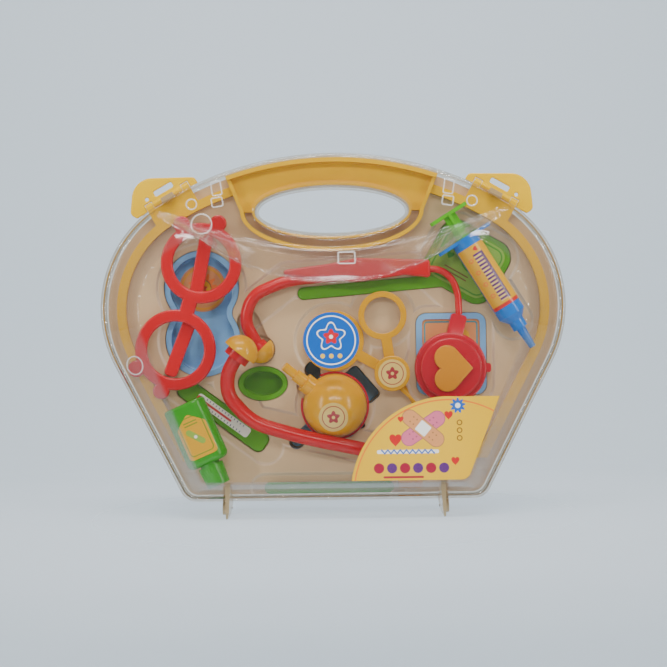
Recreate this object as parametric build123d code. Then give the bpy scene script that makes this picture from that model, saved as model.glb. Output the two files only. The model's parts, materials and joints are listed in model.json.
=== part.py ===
"""Toy doctor case: a clear clamshell with a yellow carrying frame, two swinging latches and a formed
tray of play instruments.

Everything is drawn lying on its back, in millimetres: X across the case, Y up the case and Z towards
its front, with the halves meeting at Z = 0. The last step stands the finished pieces upright, so that
Y becomes up and Z becomes the side that faces the viewer.
"""

from build123d import *
from math import acos, asin, atan2, cos, degrees, hypot, radians, sin, tan
import os

# --- Case halves -------------------------------------------------------------------------------
CASE_WIDTH = 309.0
CASE_HEIGHT = 230.5          # base to crown, without the feet
CASE_DEPTH = 70.0
FOOT_HEIGHT = 10.0
WIDEST_DROP = 102.5          # of the widest level, below the crown
SHOULDER_RADIUS = 82.0
CORNER_RADIUS = 12.0
BASE_WIDTH = 184.0           # flat stretch between the corner arcs
RIM_DEPTH = 11.0             # how far each half runs straight back from the seam
RIM_ROUND = 3.0              # outer radius of the rim's edge
MOUTH_ROUND = 6.0            # outer radius at the mouth of the hand hole
PANEL_ROUND = 3.5            # outer radius where the slopes meet the panel
SHELL_WALL = 1.6
SLOPE_WALL = 2.0             # level thickness of the sloping walls
SEAM_GAP = 0.3               # between the closed halves

# Compartment where it leaves the rim, and the flat panel that ends it
SKIRT_INSET = 5.0
SKIRT_VALLEY_DROP = 64.5     # lowest point of the hollow under the handle, below the crown
SKIRT_VALLEY_RADIUS = 262.0
SKIRT_LOBE_RADIUS = 12.0
PANEL_SIDE_INSET = 27.9      # from the side of the case at its widest
PANEL_WIDEST_DROP = 2.0      # below the widest level of the case
PANEL_SHOULDER_RADIUS = 48.5
PANEL_LIFT = 14.0            # lower edge of the panel above the base
PANEL_BASE_INSET = 11.0
PANEL_CORNER_RADIUS = 8.0
PANEL_VALLEY_DROP = 86.1
PANEL_VALLEY_RADIUS = 135.0
PANEL_LOBE_RADIUS = 7.0

# --- Hand hole, frame and latches ----------------------------------------------------------------
HOLE_DROP = 38.0             # of its centre, below the crown
HOLE_LENGTH = 98.4
HOLE_RISE = 29.6
FRAME_BACK = -5.0
FRAME_FRONT = -0.4
HOOP_INSET = 9.5
HOOP_WIDTH = 6.0
HOOP_FOOT = 26.0             # open ends of the hoop, above the base
GRIP_INSET = 2.4
GRIP_FRONT = 6.0
GRIP_SPLAY = 0.41            # sideways lean of the grip's ends, per millimetre of height
CROWN_LIP = 3.0
HOLE_LIP = 1.5
BEAD_GAP = 9.4               # from the hand hole to the outer bead below it
BEAD_WIDTH = 2.6
BEAD_FRONT = 4.5
FRAME_CLEARANCE = 0.8        # between the frame's hole and the tube wall of the shells

LATCH_ANGLE = 29.6           # of the latch's outward direction, from straight up
# Corners of the flap: along the rim, outwards from it, and radius
LATCH_CORNERS = ((-22.3, 0.0, 1.0), (-22.0, 4.8, 3.0), (13.6, 24.4, 14.0), (27.8, 4.4, 4.0), (25.2, 0.0, 1.2))
LATCH_THICKNESS = 3.0
LATCH_PIVOT_OUT = 2.6
LATCH_PIVOT_BACK = 3.0
KNUCKLE_RADIUS = 2.4
LATCH_PIN_RADIUS = 1.0
LATCH_PIN_SETBACK = 0.5      # of the pin's ends inside the knuckles
RUNNING_FIT = 0.05           # radial, of a pin in a moving bore
SEAT_FIT = 0.02              # radial, of a pin in its fixed bore
LATCH_EDGE_ROUND = 0.6
BARREL_LENGTH = 22.0
KNUCKLE_LENGTH = 5.0
PAD_SETBACK = 0.3            # of the pad's end from the edge of the case
WEB_ROOT, WEB_SETBACK = 1.0, 0.4
NOTCH_REACH = 16.0           # of the rear rim's notch, across its wall
MOVING_GAP = 0.3             # between pieces that turn or slide past each other
CATCH_HEIGHT = 3.2
CATCH_BACK = 1.5             # catch tooth, from the seam
CATCH_DEPTH = 2.5
CATCH_WIDTH = 10.0
CATCH_ROOT = 1.0             # of the tooth, sunk into the rim
NECK_OVERLAP = 0.2           # between the slot and the room beside the barrel
SLOT_CLEARANCE = 0.7
SLOT_SIDE_ROOM = 2.0
SLOT_ROUND = 1.2
DOT_HOLE_OFFSET = (13.0, -0.5)   # from the middle of the slot
DOT_HOLE_RADIUS = 1.3

# --- Feet, which are also the hinge -----------------------------------------------------------------
FOOT_INSET = 19.95           # hinge gap from the end of the flat base
EAR_THICKNESS = 3.4
EAR_TIP = 1.2                # width that is left of the tapered ear at the floor
FOOT_LENGTH = 28.0           # from the seam
HINGE_HEIGHT = 4.5
HINGE_PIN_RADIUS = 1.0
HINGE_EYE_RADIUS = 4.4
HINGE_PIN_SETBACK = 0.6      # of the pin's ends inside the ears

# --- Tray ---------------------------------------------------------------------------------------
TRAY_FACE = -5.0             # instruments of the front layer lie on it
TRAY_WALL = 1.2
TRAY_GAP = 0.1               # between the tray's skirt and the rounding of the rear rim
POCKET_CLEARANCE = 0.5
PAPER = 0.3                  # thickness of stickers and labels

BASE = FOOT_HEIGHT
PANEL_BASE = BASE + PANEL_LIFT
CROWN = BASE + CASE_HEIGHT
WIDEST = CROWN - WIDEST_DROP
HALF_DEPTH = CASE_DEPTH / 2
LEFT, RIGHT = -CASE_WIDTH / 2, CASE_WIDTH / 2
HOLE_LEVEL = CROWN - HOLE_DROP
FOOT_OFFSET = BASE_WIDTH / 2 - FOOT_INSET


# --- Construction helpers ------------------------------------------------------------------------
def slab(face, back, front):
    """The flat outline as a solid between two depths."""
    return extrude(Pos(0, 0, back) * face, front - back, dir=(0, 0, 1))


def mirrored(shape):
    """The same piece on the other side of the case."""
    return mirror(shape, about=Plane.YZ)


def both_sides(shape):
    return shape + mirrored(shape)


def polygon(*points):
    """Straight-sided face that faces the front, whichever way round its points are given."""
    face = Polygon(*points, align=None)
    return face if face.face().normal_at().Z > 0 else Polygon(*reversed(points), align=None)


def disc(centre, radius, back, front):
    return slab(Pos(*centre) * Circle(radius), back, front)


def front_edges(body):
    return body.faces().sort_by(Axis.Z)[-1].edges()


def back_edges(body):
    return body.faces().sort_by(Axis.Z)[0].edges()


def soft_slab(face, back, front, rounding):
    """Flat piece with the edges of its front and back rounded."""
    body = slab(face, back, front)
    return fillet(front_edges(body) + back_edges(body), rounding)


def bar(start, end, width, corner=None, grow=0.0):
    """Flat outline of a straight bar between two points; its ends are half round without a corner radius."""
    along = Vector(*end) - Vector(*start)
    middle = (Vector(*start) + Vector(*end)) * 0.5
    if corner is None:
        outline = SlotOverall(along.length + 2 * grow, width + 2 * grow)
    else:
        outline = RectangleRounded(along.length + 2 * grow, width + 2 * grow, corner + grow)
    return Pos(middle.X, middle.Y) * Rot(0, 0, degrees(atan2(along.Y, along.X))) * outline


def rod(points, radius):
    """Round bar along straight runs that are joined by tangent arcs."""
    runs = [(Vector(*b) - Vector(*a)) for a, b in zip(points, points[1:])]
    radii = []
    for before, after in zip(runs, runs[1:]):
        turn = radians(before.get_angle(after))
        radii.append(0.45 * min(before.length, after.length) / tan(turn / 2))
    path = FilletPolyline(*points, radius=radii)
    start = Plane(origin=path @ 0, z_dir=path % 0)
    return sweep(start * Circle(radius), path=path)


def frame_on(origin, direction, depth=0.0):
    """Frame with its Z axis along a direction in the plane of the case, and Y towards the front."""
    along = direction.normalized()
    return Plane(origin=(*origin, depth), x_dir=(-along.Y, along.X, 0), z_dir=(along.X, along.Y, 0))


# --- Outlines ------------------------------------------------------------------------------------
def circle_meeting(a, reach_a, b, reach_b):
    """Right-hand meeting point of two circles, given by centres and radii."""
    apart = b - a
    along = (reach_a**2 - reach_b**2 + apart.length**2) / (2 * apart.length)
    aside = (reach_a**2 - along**2) ** 0.5
    unit = apart.normalized()
    return a + unit * along + Vector(unit.Y, -unit.X) * aside


def arc_on(centre, radius, start, end):
    """Short arc about a centre between two points that lie on it."""
    middle = ((start - centre).normalized() + (end - centre).normalized()).normalized()
    return ThreePointArc(start, centre + middle * radius, end)


class Side:
    """Lower right side of an outline: a corner arc and a shoulder arc with their common tangent."""

    def __init__(self, shoulder, shoulder_radius, corner, corner_radius, inset):
        across = shoulder - corner
        lean = acos((corner_radius - shoulder_radius) / across.length) - atan2(across.Y, across.X)
        outward = Vector(cos(lean), -sin(lean))
        self.shoulder, self.radius = shoulder, shoulder_radius - inset
        self.base = corner.Y - corner_radius + inset
        self.corner_foot = Vector(corner.X, self.base)
        corner_top = corner + outward * (corner_radius - inset)
        side_top = shoulder + outward * self.radius
        self.edges = [
            arc_on(corner, corner_radius - inset, self.corner_foot, corner_top),
            Line(corner_top, side_top),
        ]
        self.top = side_top

    def closed(self, upper_edges, crest):
        """Whole symmetric outline as a face, from the right-hand edges above the shoulder's foot."""
        right = [*self.edges, *upper_edges]
        left = [mirrored(edge) for edge in right]
        foot = Line((-self.corner_foot.X, self.base), (self.corner_foot.X, self.base))
        return make_face([foot, *right, crest, *left])


SHOULDER = Vector(RIGHT - SHOULDER_RADIUS, WIDEST)
CORNER = Vector(BASE_WIDTH / 2, BASE + CORNER_RADIUS)
CROWN_DROP = SHOULDER.Y - CROWN
CROWN_RADIUS = (SHOULDER_RADIUS**2 - SHOULDER.X**2 - CROWN_DROP**2) / (2 * (CROWN_DROP + SHOULDER_RADIUS))
CROWN_CENTRE = Vector(0, CROWN - CROWN_RADIUS)


def case_outline(inset=0.0):
    """Outline of the whole case, moved inwards: a crown arc that runs into two shoulder arcs."""
    corner_radius = max(CORNER_RADIUS, inset + 1)
    corner = Vector(CORNER.X - corner_radius + CORNER_RADIUS, BASE + corner_radius)
    side = Side(SHOULDER, SHOULDER_RADIUS, corner, corner_radius, inset)
    join = SHOULDER + (SHOULDER - CROWN_CENTRE).normalized() * side.radius
    crown_radius = CROWN_RADIUS - inset
    crest = ThreePointArc(join, CROWN_CENTRE + Vector(0, crown_radius), Vector(-join.X, join.Y))
    return side.closed([arc_on(SHOULDER, side.radius, side.top, join)], crest)


def hollowed_outline(side, valley, valley_radius, lobe_radius, inset):
    """Outline whose top dips under the handle between two rounded lobes."""
    valley_centre = Vector(0, valley + valley_radius)
    lobe = circle_meeting(side.shoulder, side.radius + inset - lobe_radius,
                          valley_centre, valley_radius + lobe_radius)
    rise = side.shoulder + (lobe - side.shoulder).normalized() * side.radius
    fall_radius = valley_radius + inset
    fall = valley_centre + (lobe - valley_centre).normalized() * fall_radius
    crest = ThreePointArc(fall, valley_centre - Vector(0, fall_radius), Vector(-fall.X, fall.Y))
    shoulder_arc = arc_on(side.shoulder, side.radius, side.top, rise)
    return side.closed([shoulder_arc, arc_on(lobe, lobe_radius - inset, rise, fall)], crest)


def skirt_outline(inset=0.0):
    """Compartment where it leaves the rim."""
    side = Side(SHOULDER, SHOULDER_RADIUS - SKIRT_INSET, CORNER, CORNER_RADIUS - SKIRT_INSET, inset)
    return hollowed_outline(side, CROWN - SKIRT_VALLEY_DROP, SKIRT_VALLEY_RADIUS, SKIRT_LOBE_RADIUS, inset)


def panel_outline(inset=0.0):
    """Flat panel at the face of the compartment."""
    shoulder = Vector(RIGHT - PANEL_SIDE_INSET - PANEL_SHOULDER_RADIUS, WIDEST - PANEL_WIDEST_DROP)
    corner = Vector(BASE_WIDTH / 2 - PANEL_BASE_INSET, PANEL_BASE + PANEL_CORNER_RADIUS)
    side = Side(shoulder, PANEL_SHOULDER_RADIUS, corner, PANEL_CORNER_RADIUS, inset)
    return hollowed_outline(side, CROWN - PANEL_VALLEY_DROP, PANEL_VALLEY_RADIUS, PANEL_LOBE_RADIUS, inset)


def hand_hole(growth=0.0):
    return Pos(0, HOLE_LEVEL) * Ellipse(HOLE_LENGTH / 2 + growth, HOLE_RISE / 2 + growth)


# --- Case halves ---------------------------------------------------------------------------------
def rim_block(inset, back, front):
    """Rim round the hand hole between two depths, with the outer edge and the hole's mouth rounded."""
    block = slab(case_outline(inset) - hand_hole(inset), back, front)
    block = fillet(block.faces().sort_by(Axis.Z)[-1].inner_wires()[0].edges(), MOUTH_ROUND - inset)
    return fillet(block.faces().sort_by(Axis.Z)[-1].outer_wire().edges(), RIM_ROUND - inset)


def compartment(inset, rounding, rim_front, panel_front):
    """Sloping bowl between the rim and the panel."""
    foot, panel = skirt_outline(inset), panel_outline(inset)
    bowl = loft([Pos(0, 0, rim_front) * foot, Pos(0, 0, panel_front) * panel], ruled=True)
    return fillet(front_edges(bowl), rounding)


def half_cavity():
    """Room inside one half, from the seam to the inner face of its panel."""
    floor = RIM_DEPTH - SHELL_WALL
    panel_floor = HALF_DEPTH - SHELL_WALL
    return rim_block(SHELL_WALL, -SEAM_GAP, floor) + compartment(
        SLOPE_WALL, PANEL_ROUND - SHELL_WALL, floor, panel_floor)


def half_shell():
    """One half with the walled hand hole, before it is hollowed, its mouth at the seam."""
    outside = rim_block(0, SEAM_GAP / 2, RIM_DEPTH)
    return outside + compartment(0, PANEL_ROUND, RIM_DEPTH, HALF_DEPTH)


def ear(inner):
    """Foot and hinge ear on the right-hand side; the inner one tapers towards the floor."""
    near = FOOT_OFFSET - MOVING_GAP / 2 if inner else FOOT_OFFSET + MOVING_GAP / 2
    far = near - EAR_THICKNESS if inner else near + EAR_THICKNESS
    tip = near - EAR_TIP if inner else far
    front_view = polygon((near, 0), (near, PANEL_BASE), (far, PANEL_BASE), (far, BASE), (tip, 0))
    # Seen from the side, as height and depth
    side_view = polygon((0, 0), (BASE + SHELL_WALL, 0), (BASE + SKIRT_INSET, RIM_DEPTH),
                        (PANEL_BASE, FOOT_LENGTH), (HINGE_HEIGHT, FOOT_LENGTH),
                        (0, FOOT_LENGTH - HINGE_HEIGHT))
    axle = Pos(HINGE_HEIGHT, 0)
    bore_radius = HINGE_PIN_RADIUS + (RUNNING_FIT if inner else SEAT_FIT)
    profile = side_view + axle * Circle(HINGE_EYE_RADIUS) - axle * Circle(bore_radius)
    seat = Plane(origin=(FOOT_OFFSET, 0, 0), x_dir=(0, 1, 0), z_dir=(1, 0, 0))
    blank = extrude(seat * profile, 2 * EAR_THICKNESS, both=True)
    return blank & slab(front_view, -FOOT_LENGTH, FOOT_LENGTH)


def hinge_pin():
    """Pin through one pair of ears."""
    half = EAR_THICKNESS + MOVING_GAP / 2 - HINGE_PIN_SETBACK
    seat = Plane(origin=(FOOT_OFFSET - half, HINGE_HEIGHT, 0), x_dir=(0, 1, 0), z_dir=(1, 0, 0))
    return extrude(seat * Circle(HINGE_PIN_RADIUS), 2 * half)


# --- Latches ---------------------------------------------------------------------------------------
LATCH_OUT = Vector(sin(radians(LATCH_ANGLE)), cos(radians(LATCH_ANGLE)))
LATCH_ROOT = CROWN_CENTRE + LATCH_OUT * CROWN_RADIUS
# Seat of the right-hand latch: X along the rim, Y outwards and Z towards the front
LATCH_SEAT = Plane(origin=(LATCH_ROOT.X, LATCH_ROOT.Y, 0), x_dir=(LATCH_OUT.Y, -LATCH_OUT.X, 0))
PIVOT_DEPTH = -LATCH_PIVOT_BACK
SLOT_NEAR = CATCH_BACK + LATCH_PIVOT_BACK - SLOT_CLEARANCE
SLOT_FAR = CATCH_BACK + CATCH_DEPTH + LATCH_PIVOT_BACK + SLOT_CLEARANCE


def along_rim(radius, start, end):
    """Round bar on the latch's axis, between two places along the rim."""
    axis = Plane(origin=(start, LATCH_PIVOT_OUT, PIVOT_DEPTH), x_dir=(0, 1, 0), z_dir=(1, 0, 0))
    return extrude(axis * Circle(radius), end - start)


def latch_outline():
    """Flap seen from the front: a broad ear whose rounded outer corner leans to the side of the case."""
    near = LATCH_PIVOT_OUT - KNUCKLE_RADIUS
    outline = Pos(0, near) * polygon(*((along, out) for along, out, _ in LATCH_CORNERS))
    for along, out, rounding in LATCH_CORNERS:
        outline = fillet(outline.vertices().sort_by_distance((along, near + out, 0))[0], rounding)
    return outline


def latch():
    """Flap that stands out from the rim, with a slot for the catch and a small finger hole."""
    hinge_reach = LATCH_PIVOT_OUT + KNUCKLE_RADIUS + MOVING_GAP
    knuckle_room = Rectangle(BARREL_LENGTH + 2 * (KNUCKLE_LENGTH + 2 * MOVING_GAP), 2 * hinge_reach)
    slot_middle = LATCH_PIVOT_OUT + (SLOT_NEAR + SLOT_FAR) / 2
    slot_size = (CATCH_WIDTH + 2 * SLOT_SIDE_ROOM, SLOT_FAR - SLOT_NEAR)
    slot = Pos(0, slot_middle) * RectangleRounded(*slot_size, SLOT_ROUND)
    dot_hole = Pos(0, slot_middle) * Pos(*DOT_HOLE_OFFSET) * Circle(DOT_HOLE_RADIUS)
    neck_size = (BARREL_LENGTH, hinge_reach + NECK_OVERLAP - LATCH_PIVOT_OUT)
    neck = Pos(0, LATCH_PIVOT_OUT) * Rectangle(*neck_size, align=(Align.CENTER, Align.MIN))
    flap = latch_outline() - knuckle_room + neck - slot - dot_hole
    back = PIVOT_DEPTH - LATCH_THICKNESS / 2
    plate = slab(flap, back, back + LATCH_THICKNESS)
    plate = fillet(front_edges(plate) + back_edges(plate), LATCH_EDGE_ROUND)
    barrel = along_rim(KNUCKLE_RADIUS, -BARREL_LENGTH / 2, BARREL_LENGTH / 2)
    bore = along_rim(LATCH_PIN_RADIUS + RUNNING_FIT, -BARREL_LENGTH, BARREL_LENGTH)
    return LATCH_SEAT * (plate + barrel - bore)


def latch_pin():
    reach = BARREL_LENGTH / 2 + MOVING_GAP + KNUCKLE_LENGTH - LATCH_PIN_SETBACK
    return LATCH_SEAT * along_rim(LATCH_PIN_RADIUS, -reach, reach)


def catch_tooth():
    """Tooth on the front rim that the latch's slot drops over."""
    height = CATCH_HEIGHT + CATCH_ROOT
    tooth = Box(CATCH_WIDTH, height, CATCH_DEPTH, align=(Align.CENTER, Align.MIN, Align.MIN))
    return LATCH_SEAT * Pos(0, -CATCH_ROOT, CATCH_BACK) * tooth


def latch_pad_outline():
    """Part of the frame that reaches out through the rear rim to carry the latch."""
    size = (BARREL_LENGTH + 2 * (KNUCKLE_LENGTH + MOVING_GAP), HOOP_INSET + HOOP_WIDTH / 2 - PAD_SETBACK)
    pad = Rectangle(*size, align=(Align.CENTER, Align.MAX))
    return LATCH_SEAT * Pos(0, -PAD_SETBACK) * pad


def latch_knuckles():
    """Two bored knuckles on their webs at the edge of the pad."""
    middle = (BARREL_LENGTH + KNUCKLE_LENGTH) / 2 + MOVING_GAP
    web_size = (KNUCKLE_LENGTH, LATCH_PIVOT_OUT + WEB_ROOT, FRAME_FRONT - FRAME_BACK - WEB_SETBACK)
    web = Box(*web_size, align=(Align.CENTER, Align.MIN, Align.MIN))
    knuckles = Part()
    for offset in (-middle, middle):
        knuckles += along_rim(KNUCKLE_RADIUS, offset - KNUCKLE_LENGTH / 2, offset + KNUCKLE_LENGTH / 2)
        knuckles += Pos(offset, -WEB_ROOT, FRAME_BACK) * web
    bore = along_rim(LATCH_PIN_RADIUS + SEAT_FIT, -BARREL_LENGTH, BARREL_LENGTH)
    return LATCH_SEAT * (knuckles - bore)


def front_shell():
    """Front half with its two catch teeth and hinge ears."""
    return half_shell() + both_sides(catch_tooth()) + both_sides(ear(inner=True)) - half_cavity()


def rear_shell():
    """Rear half with its hinge ears, notched where the frame's latch pads pass through."""
    turned = mirror(half_shell() + both_sides(ear(inner=False)) - half_cavity(), about=Plane.XY)
    width = BARREL_LENGTH + 2 * (KNUCKLE_LENGTH + 2 * MOVING_GAP)
    notch = Box(width, NOTCH_REACH, HALF_DEPTH, align=(Align.CENTER, Align.CENTER, Align.MIN))
    return turned - both_sides(LATCH_SEAT * Pos(0, 0, FRAME_BACK - MOVING_GAP) * notch)


def grip_outline(inset):
    """Grip seen from the front: splayed ends above the middle of the hand hole, a half ellipse below."""
    reach = BEAD_GAP + BEAD_WIDTH - inset
    half, rise = HOLE_LENGTH / 2 + reach, CROWN - HOLE_LEVEL
    top_half = half + GRIP_SPLAY * rise
    upper = polygon((-half, HOLE_LEVEL), (half, HOLE_LEVEL), (top_half, CROWN), (-top_half, CROWN))
    return (upper & case_outline(GRIP_INSET)) + hand_hole(reach)


def yellow_frame():
    """Hoop, latch pads and the lipped grip, moulded in one piece."""
    span = Rectangle(CASE_WIDTH, CASE_HEIGHT, align=(Align.CENTER, Align.MIN))
    hoop = case_outline(HOOP_INSET) - case_outline(HOOP_INSET + HOOP_WIDTH)
    hoop = hoop & Pos(0, BASE + HOOP_FOOT) * span
    above_middle, hole_gap = Pos(0, HOLE_LEVEL) * span, SHELL_WALL + FRAME_CLEARANCE
    grip, web = grip_outline(0), (grip_outline(0) & above_middle) - hand_hole(hole_gap)
    crown_lip = (grip - case_outline(GRIP_INSET + CROWN_LIP)) & above_middle
    hole_lip = hand_hole(hole_gap + HOLE_LIP) - hand_hole(hole_gap)
    bead = (grip - grip_outline(BEAD_WIDTH)) & case_outline(GRIP_INSET)
    flat = hoop + web + bead + hole_lip + both_sides(latch_pad_outline())
    body = slab(flat, FRAME_BACK, FRAME_FRONT) + slab(bead, FRAME_BACK, BEAD_FRONT)
    return body + slab(hole_lip + crown_lip, FRAME_BACK, GRIP_FRONT) + both_sides(latch_knuckles())


# --- Instruments: where each lies on the tray, and its sizes -------------------------------------
LENS_UPPER, LENS_LOWER = (-87.8, 168.7), (-105.7, 111.0)
LENS_OUTER, LENS_INNER = 27.0, 19.0
GLASSES_THICKNESS, GLASSES_ROUND, BRIDGE_WIDTH = 4.5, 1.3, 10.0
KNOB_RADIUS, KNOB_OUT = 5.6, 2.0
KNOBS_UPPER, KNOBS_LOWER = (66, 116), (205, 250)
TEMPLE_UPPER = ((-83.5, 191.0), (-92.5, 146.0))
TEMPLE_LOWER = ((-94.5, 134.0), (-110.5, 93.5))
TEMPLE_WIDTH, TEMPLE_CORNER, TEMPLE_ROUND = 9.0, 3.0, 0.8

DISH_UPPER, DISH_LOWER = (-88.5, 152.5), (-88.0, 117.5)
DISH_RADIUS, DISH_WAIST_ROUND = 25.0, 8.0
DISH_FRONT, DISH_DEPTH, DISH_WALL = -6.2, 11.0, 1.8
DISH_BRIM, DISH_BRIM_THICKNESS, DISH_FLOOR_ROUND = 1.8, 1.6, 3.0
DISH_LABEL_RADIUS = 16.0

ARM_RADIUS, SPRING_RADIUS, TUBE_RADIUS = 4.8, 4.2, 2.3
SPRING_PATH = ((12.0, 160.0, 0.0), (-30.0, 157.0, 0.0), (-54.0, 147.0, 0.0), (-60.0, 130.0, -1.5))
BAND_UPPER_EDGE = ((-46.4, 161.7), (-2.1, 167.2), (16.7, 170.9), (64.9, 169.0))
BAND_LOWER_EDGE = ((65.4, 157.0), (48.1, 159.0), (16.5, 154.8), (-2.2, 155.8))
BAND_CORNER, BAND_ROUND = 2.0, 1.5
TUBE_PATH = ((60.0, 163.0, 0.0), (72.2, 162.6, 0.0), (80.2, 156.0, 0.0), (83.8, 146.0, 0.0))
TUBE_SOCKET, TUBE_SOCKET_DEPTH = (84.2, 132.0), 6.0
EARTIP_LOWER, EARTIP_LOWER_RADIUS = (-62.3, 108.5, 13.0), 12.0
EARTIP_UPPER, EARTIP_UPPER_RADIUS = (-49.1, 110.3, -4.0), 9.3
EARTIP_LOWER_TURN, EARTIP_UPPER_TURN = 52.0, -45.0
ARM_FLANGE_RADIUS, ARM_FLANGE_LENGTH = 8.5, 5.0
SPRING_FLANGE_RADIUS, SPRING_FLANGE_LENGTH = 6.5, 4.0
SPRING_POCKET_START, SPRING_POCKET_WIDTH = (-60.0, 136.0), 14.4
CHEST, CHEST_RADIUS, CHEST_THICKNESS = (78.0, 96.3), 24.0, 14.0
CHEST_STEP, CHEST_STEP_HEIGHT, CHEST_ROUND = 3.5, 4.0, 1.5
COLLAR_WIDTH, COLLAR_OFFSET, COLLAR_OVERLAP = 10.5, 2.5, 3.0
NUB_WIDTH, NUB_REACH, NUB_LIFT = 6.0, 3.0, 2.0
HEART_OFFSET, HEART_SIZE, HEART_THICKNESS, HEART_ROUND = -3.0, 15.4, 2.5, 0.8

BULB, BULB_RADIUS = (0.3, 72.0), 21.4
NOZZLE_LENGTH, NOZZLE_RADIUS, NOZZLE_SINK = 44.0, 9.0, 6.5
NOZZLE_STEPS = ((9.0, -4.0), (6.5, 5.0), (4.2, 13.0))   # radius, and end from the bulb's surface
NOZZLE_TIP_RADIUS, NOZZLE_POCKET_LENGTH = 3.0, 30.0
NOZZLE_TURN, NOZZLE_TILT = 140.8, -11.0
BULB_STICKER, BULB_STICKER_RADIUS = (-0.8, 65.3), 9.7
GAUGE_RADIUS, GAUGE_THICKNESS = 23.0, 2.0
# Depths along the arm are from its highest run over the bulb
ARM_PATH = ((46.0, 37.0, -7.4), (14.0, 44.2, -0.4), (-21.0, 51.6, 0.0), (-55.0, 62.0, -0.4),
            (-71.0, 80.0, -0.4), (-71.0, 95.0, 1.6))
ARM_OVER_BULB = 9.9          # depth of that run in front of the bulb's centre

SCISSORS_PIVOT = (38.9, 93.3)
LOOP_RIGHT, LOOP_RIGHT_RADIUS = (32.9, 132.2), 16.2
LOOP_LEFT, LOOP_LEFT_RADIUS = (-0.1, 115.5), 20.4
LOOP_BAND, SHANK_WIDTH, HUB_RADIUS = 4.0, 7.0, 7.5
BLADE_TURN, BLADE_LENGTH, BLADE_WIDTH, BLADE_SLANT = -54.0, 31.0, 11.0, 1.65
HALF_THICKNESS, HALF_ROUND = 2.8, 0.5
CAP_DISC_RADIUS, CAP_DISC_THICKNESS, CAP_DISC_ROUND = 11.9, 3.0, 1.0
RIVET_RADIUS = 3.0
SCISSORS_STICKER_RADIUS = 9.4

SYRINGE_COLLAR, SYRINGE_TURN, SYRINGE_DEPTH = (87.6, 183.0), -58.3, 4.2
BARREL_RADIUS, BARREL_WALL, SYRINGE_BARREL = 9.5, 1.3, 60.0
SYRINGE_SHOULDER, SYRINGE_NECK, SYRINGE_NECK_RADIUS = 5.0, 6.0, 5.2
SYRINGE_NOSE, NOSE_ROOT_RADIUS, NOSE_TIP_RADIUS = 86.0, 3.2, 2.2
SYRINGE_FLANGE, SYRINGE_FLANGE_THICKNESS = (20.0, 8.0), 2.2
SYRINGE_POCKET_END, SYRINGE_POCKET_WIDTH, SYRINGE_POCKET_CORNER = (121.0, 128.0), 15.0, 3.0
PLUNGER_OUT, PLUNGER_IN, PISTON_LENGTH = 20.0, 24.0, 5.0
STEM_WIDTH, STEM_RIB = 8.8, 2.2
THUMB_PLATE, THUMB_PLATE_CORNER, THUMB_PLATE_THICKNESS = (28.0, 7.6), 3.0, 2.4
SCALE_START, SCALE_END, SCALE_FRONT = 7.0, 53.0, 3.0

MIRROR_HEAD, MIRROR_SIZE, MIRROR_CORNER, MIRROR_TURN = (90.4, 167.6), (52.0, 46.0), 12.0, -30.0
MIRROR_HANDLE_END, MIRROR_HANDLE_WIDTH, MIRROR_NECK = (-23.8, 147.4), 8.4, 12.0
MIRROR_BACK, MIRROR_THICKNESS, MIRROR_ROUND, MIRROR_BORDER = -8.1, 2.3, 0.5, 4.0
CARD_CENTRE, CARD_SIZE, CARD_CORNER = (79.1, 105.7), (47.0, 55.0), 7.0
CARD_THICKNESS, CARD_BORDER, PICTURE_THICKNESS = 2.9, 4.0, 1.7

BOTTLE_TOP, BOTTLE_TURN, BOTTLE_MIDDLE = (-100.5, 75.0), -66.7, 8.0
BOTTLE_WIDTH, BOTTLE_DEPTH, BOTTLE_LENGTH = 28.6, 18.0, 43.0
BOTTLE_CORNER, BOTTLE_SHOULDER_ROUND, BOTTLE_BASE_ROUND = 8.8, 4.0, 2.0
CAP_RADIUS, CAP_LENGTH, CAP_TAPER, CAP_WALL, CAP_GAP = 8.6, 14.0, 0.8, 2.0, 1.5
CAP_SOCKET, FLUTES, FLUTE_RADIUS, FLUTE_SINK = 4.0, 15, 0.9, 0.5
SHIELD_SIZE, SHIELD_POINT, SHIELD_MIDDLE, SHIELD_CORNER = (20.0, 30.0), 8.0, 22.0, 2.5

THERMOMETER, THERMOMETER_CORNER = ((-103.7, 87.5), (-46.7, 45.1)), 5.0
THERMOMETER_WIDTH, THERMOMETER_THICKNESS, THERMOMETER_SINK, THERMOMETER_ROUND = 14.0, 5.0, 6.0, 1.2
SCALE_STRIP_WIDTH, SCALE_STRIP_INSET = 7.0, 14.0
OVAL_DISH, OVAL_SIZE, OVAL_DEPTH, OVAL_SINK = (-48.0, 87.5), (16.5, 11.5), 10.0, 0.5
OVAL_WALL, OVAL_BRIM, OVAL_BRIM_THICKNESS, OVAL_FLOOR_ROUND = 1.6, 1.6, 1.4, 2.5
HAMMER, HAMMER_WIDTH = ((-29.3, 44.9), (18.9, 85.8)), 9.0
HAMMER_HEAD, HAMMER_HEAD_CORNER, HAMMER_THICKNESS, HAMMER_ROUND = (26.0, 11.0), 3.0, 4.5, 1.2
TWEEZERS, TWEEZERS_SPREAD, TWEEZERS_WIDTH = ((-14.5, 96.3), (15.1, 54.3)), 5.0, 4.2
TWEEZERS_HEEL_RADIUS, TWEEZERS_THICKNESS, TWEEZERS_ROUND = 5.0, 2.6, 0.6
LAYER_GAP = 0.3              # between flat tools that lie over one another
DEEPEST_FLOOR = 1.5          # of the deepest pocket, from the inner face of the rear panel
SPATULA, SPATULA_WIDTH, SPATULA_THICKNESS, SPATULA_ROUND = ((-47.7, 17.3), (39.3, 17.3)), 7.6, 5.0, 1.6
PILL_BOX, PILL_SIZE, PILL_CORNER, PILL_ROUND = (50.2, 19.6), (16.0, 6.4, 8.0), 2.0, 0.9

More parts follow.
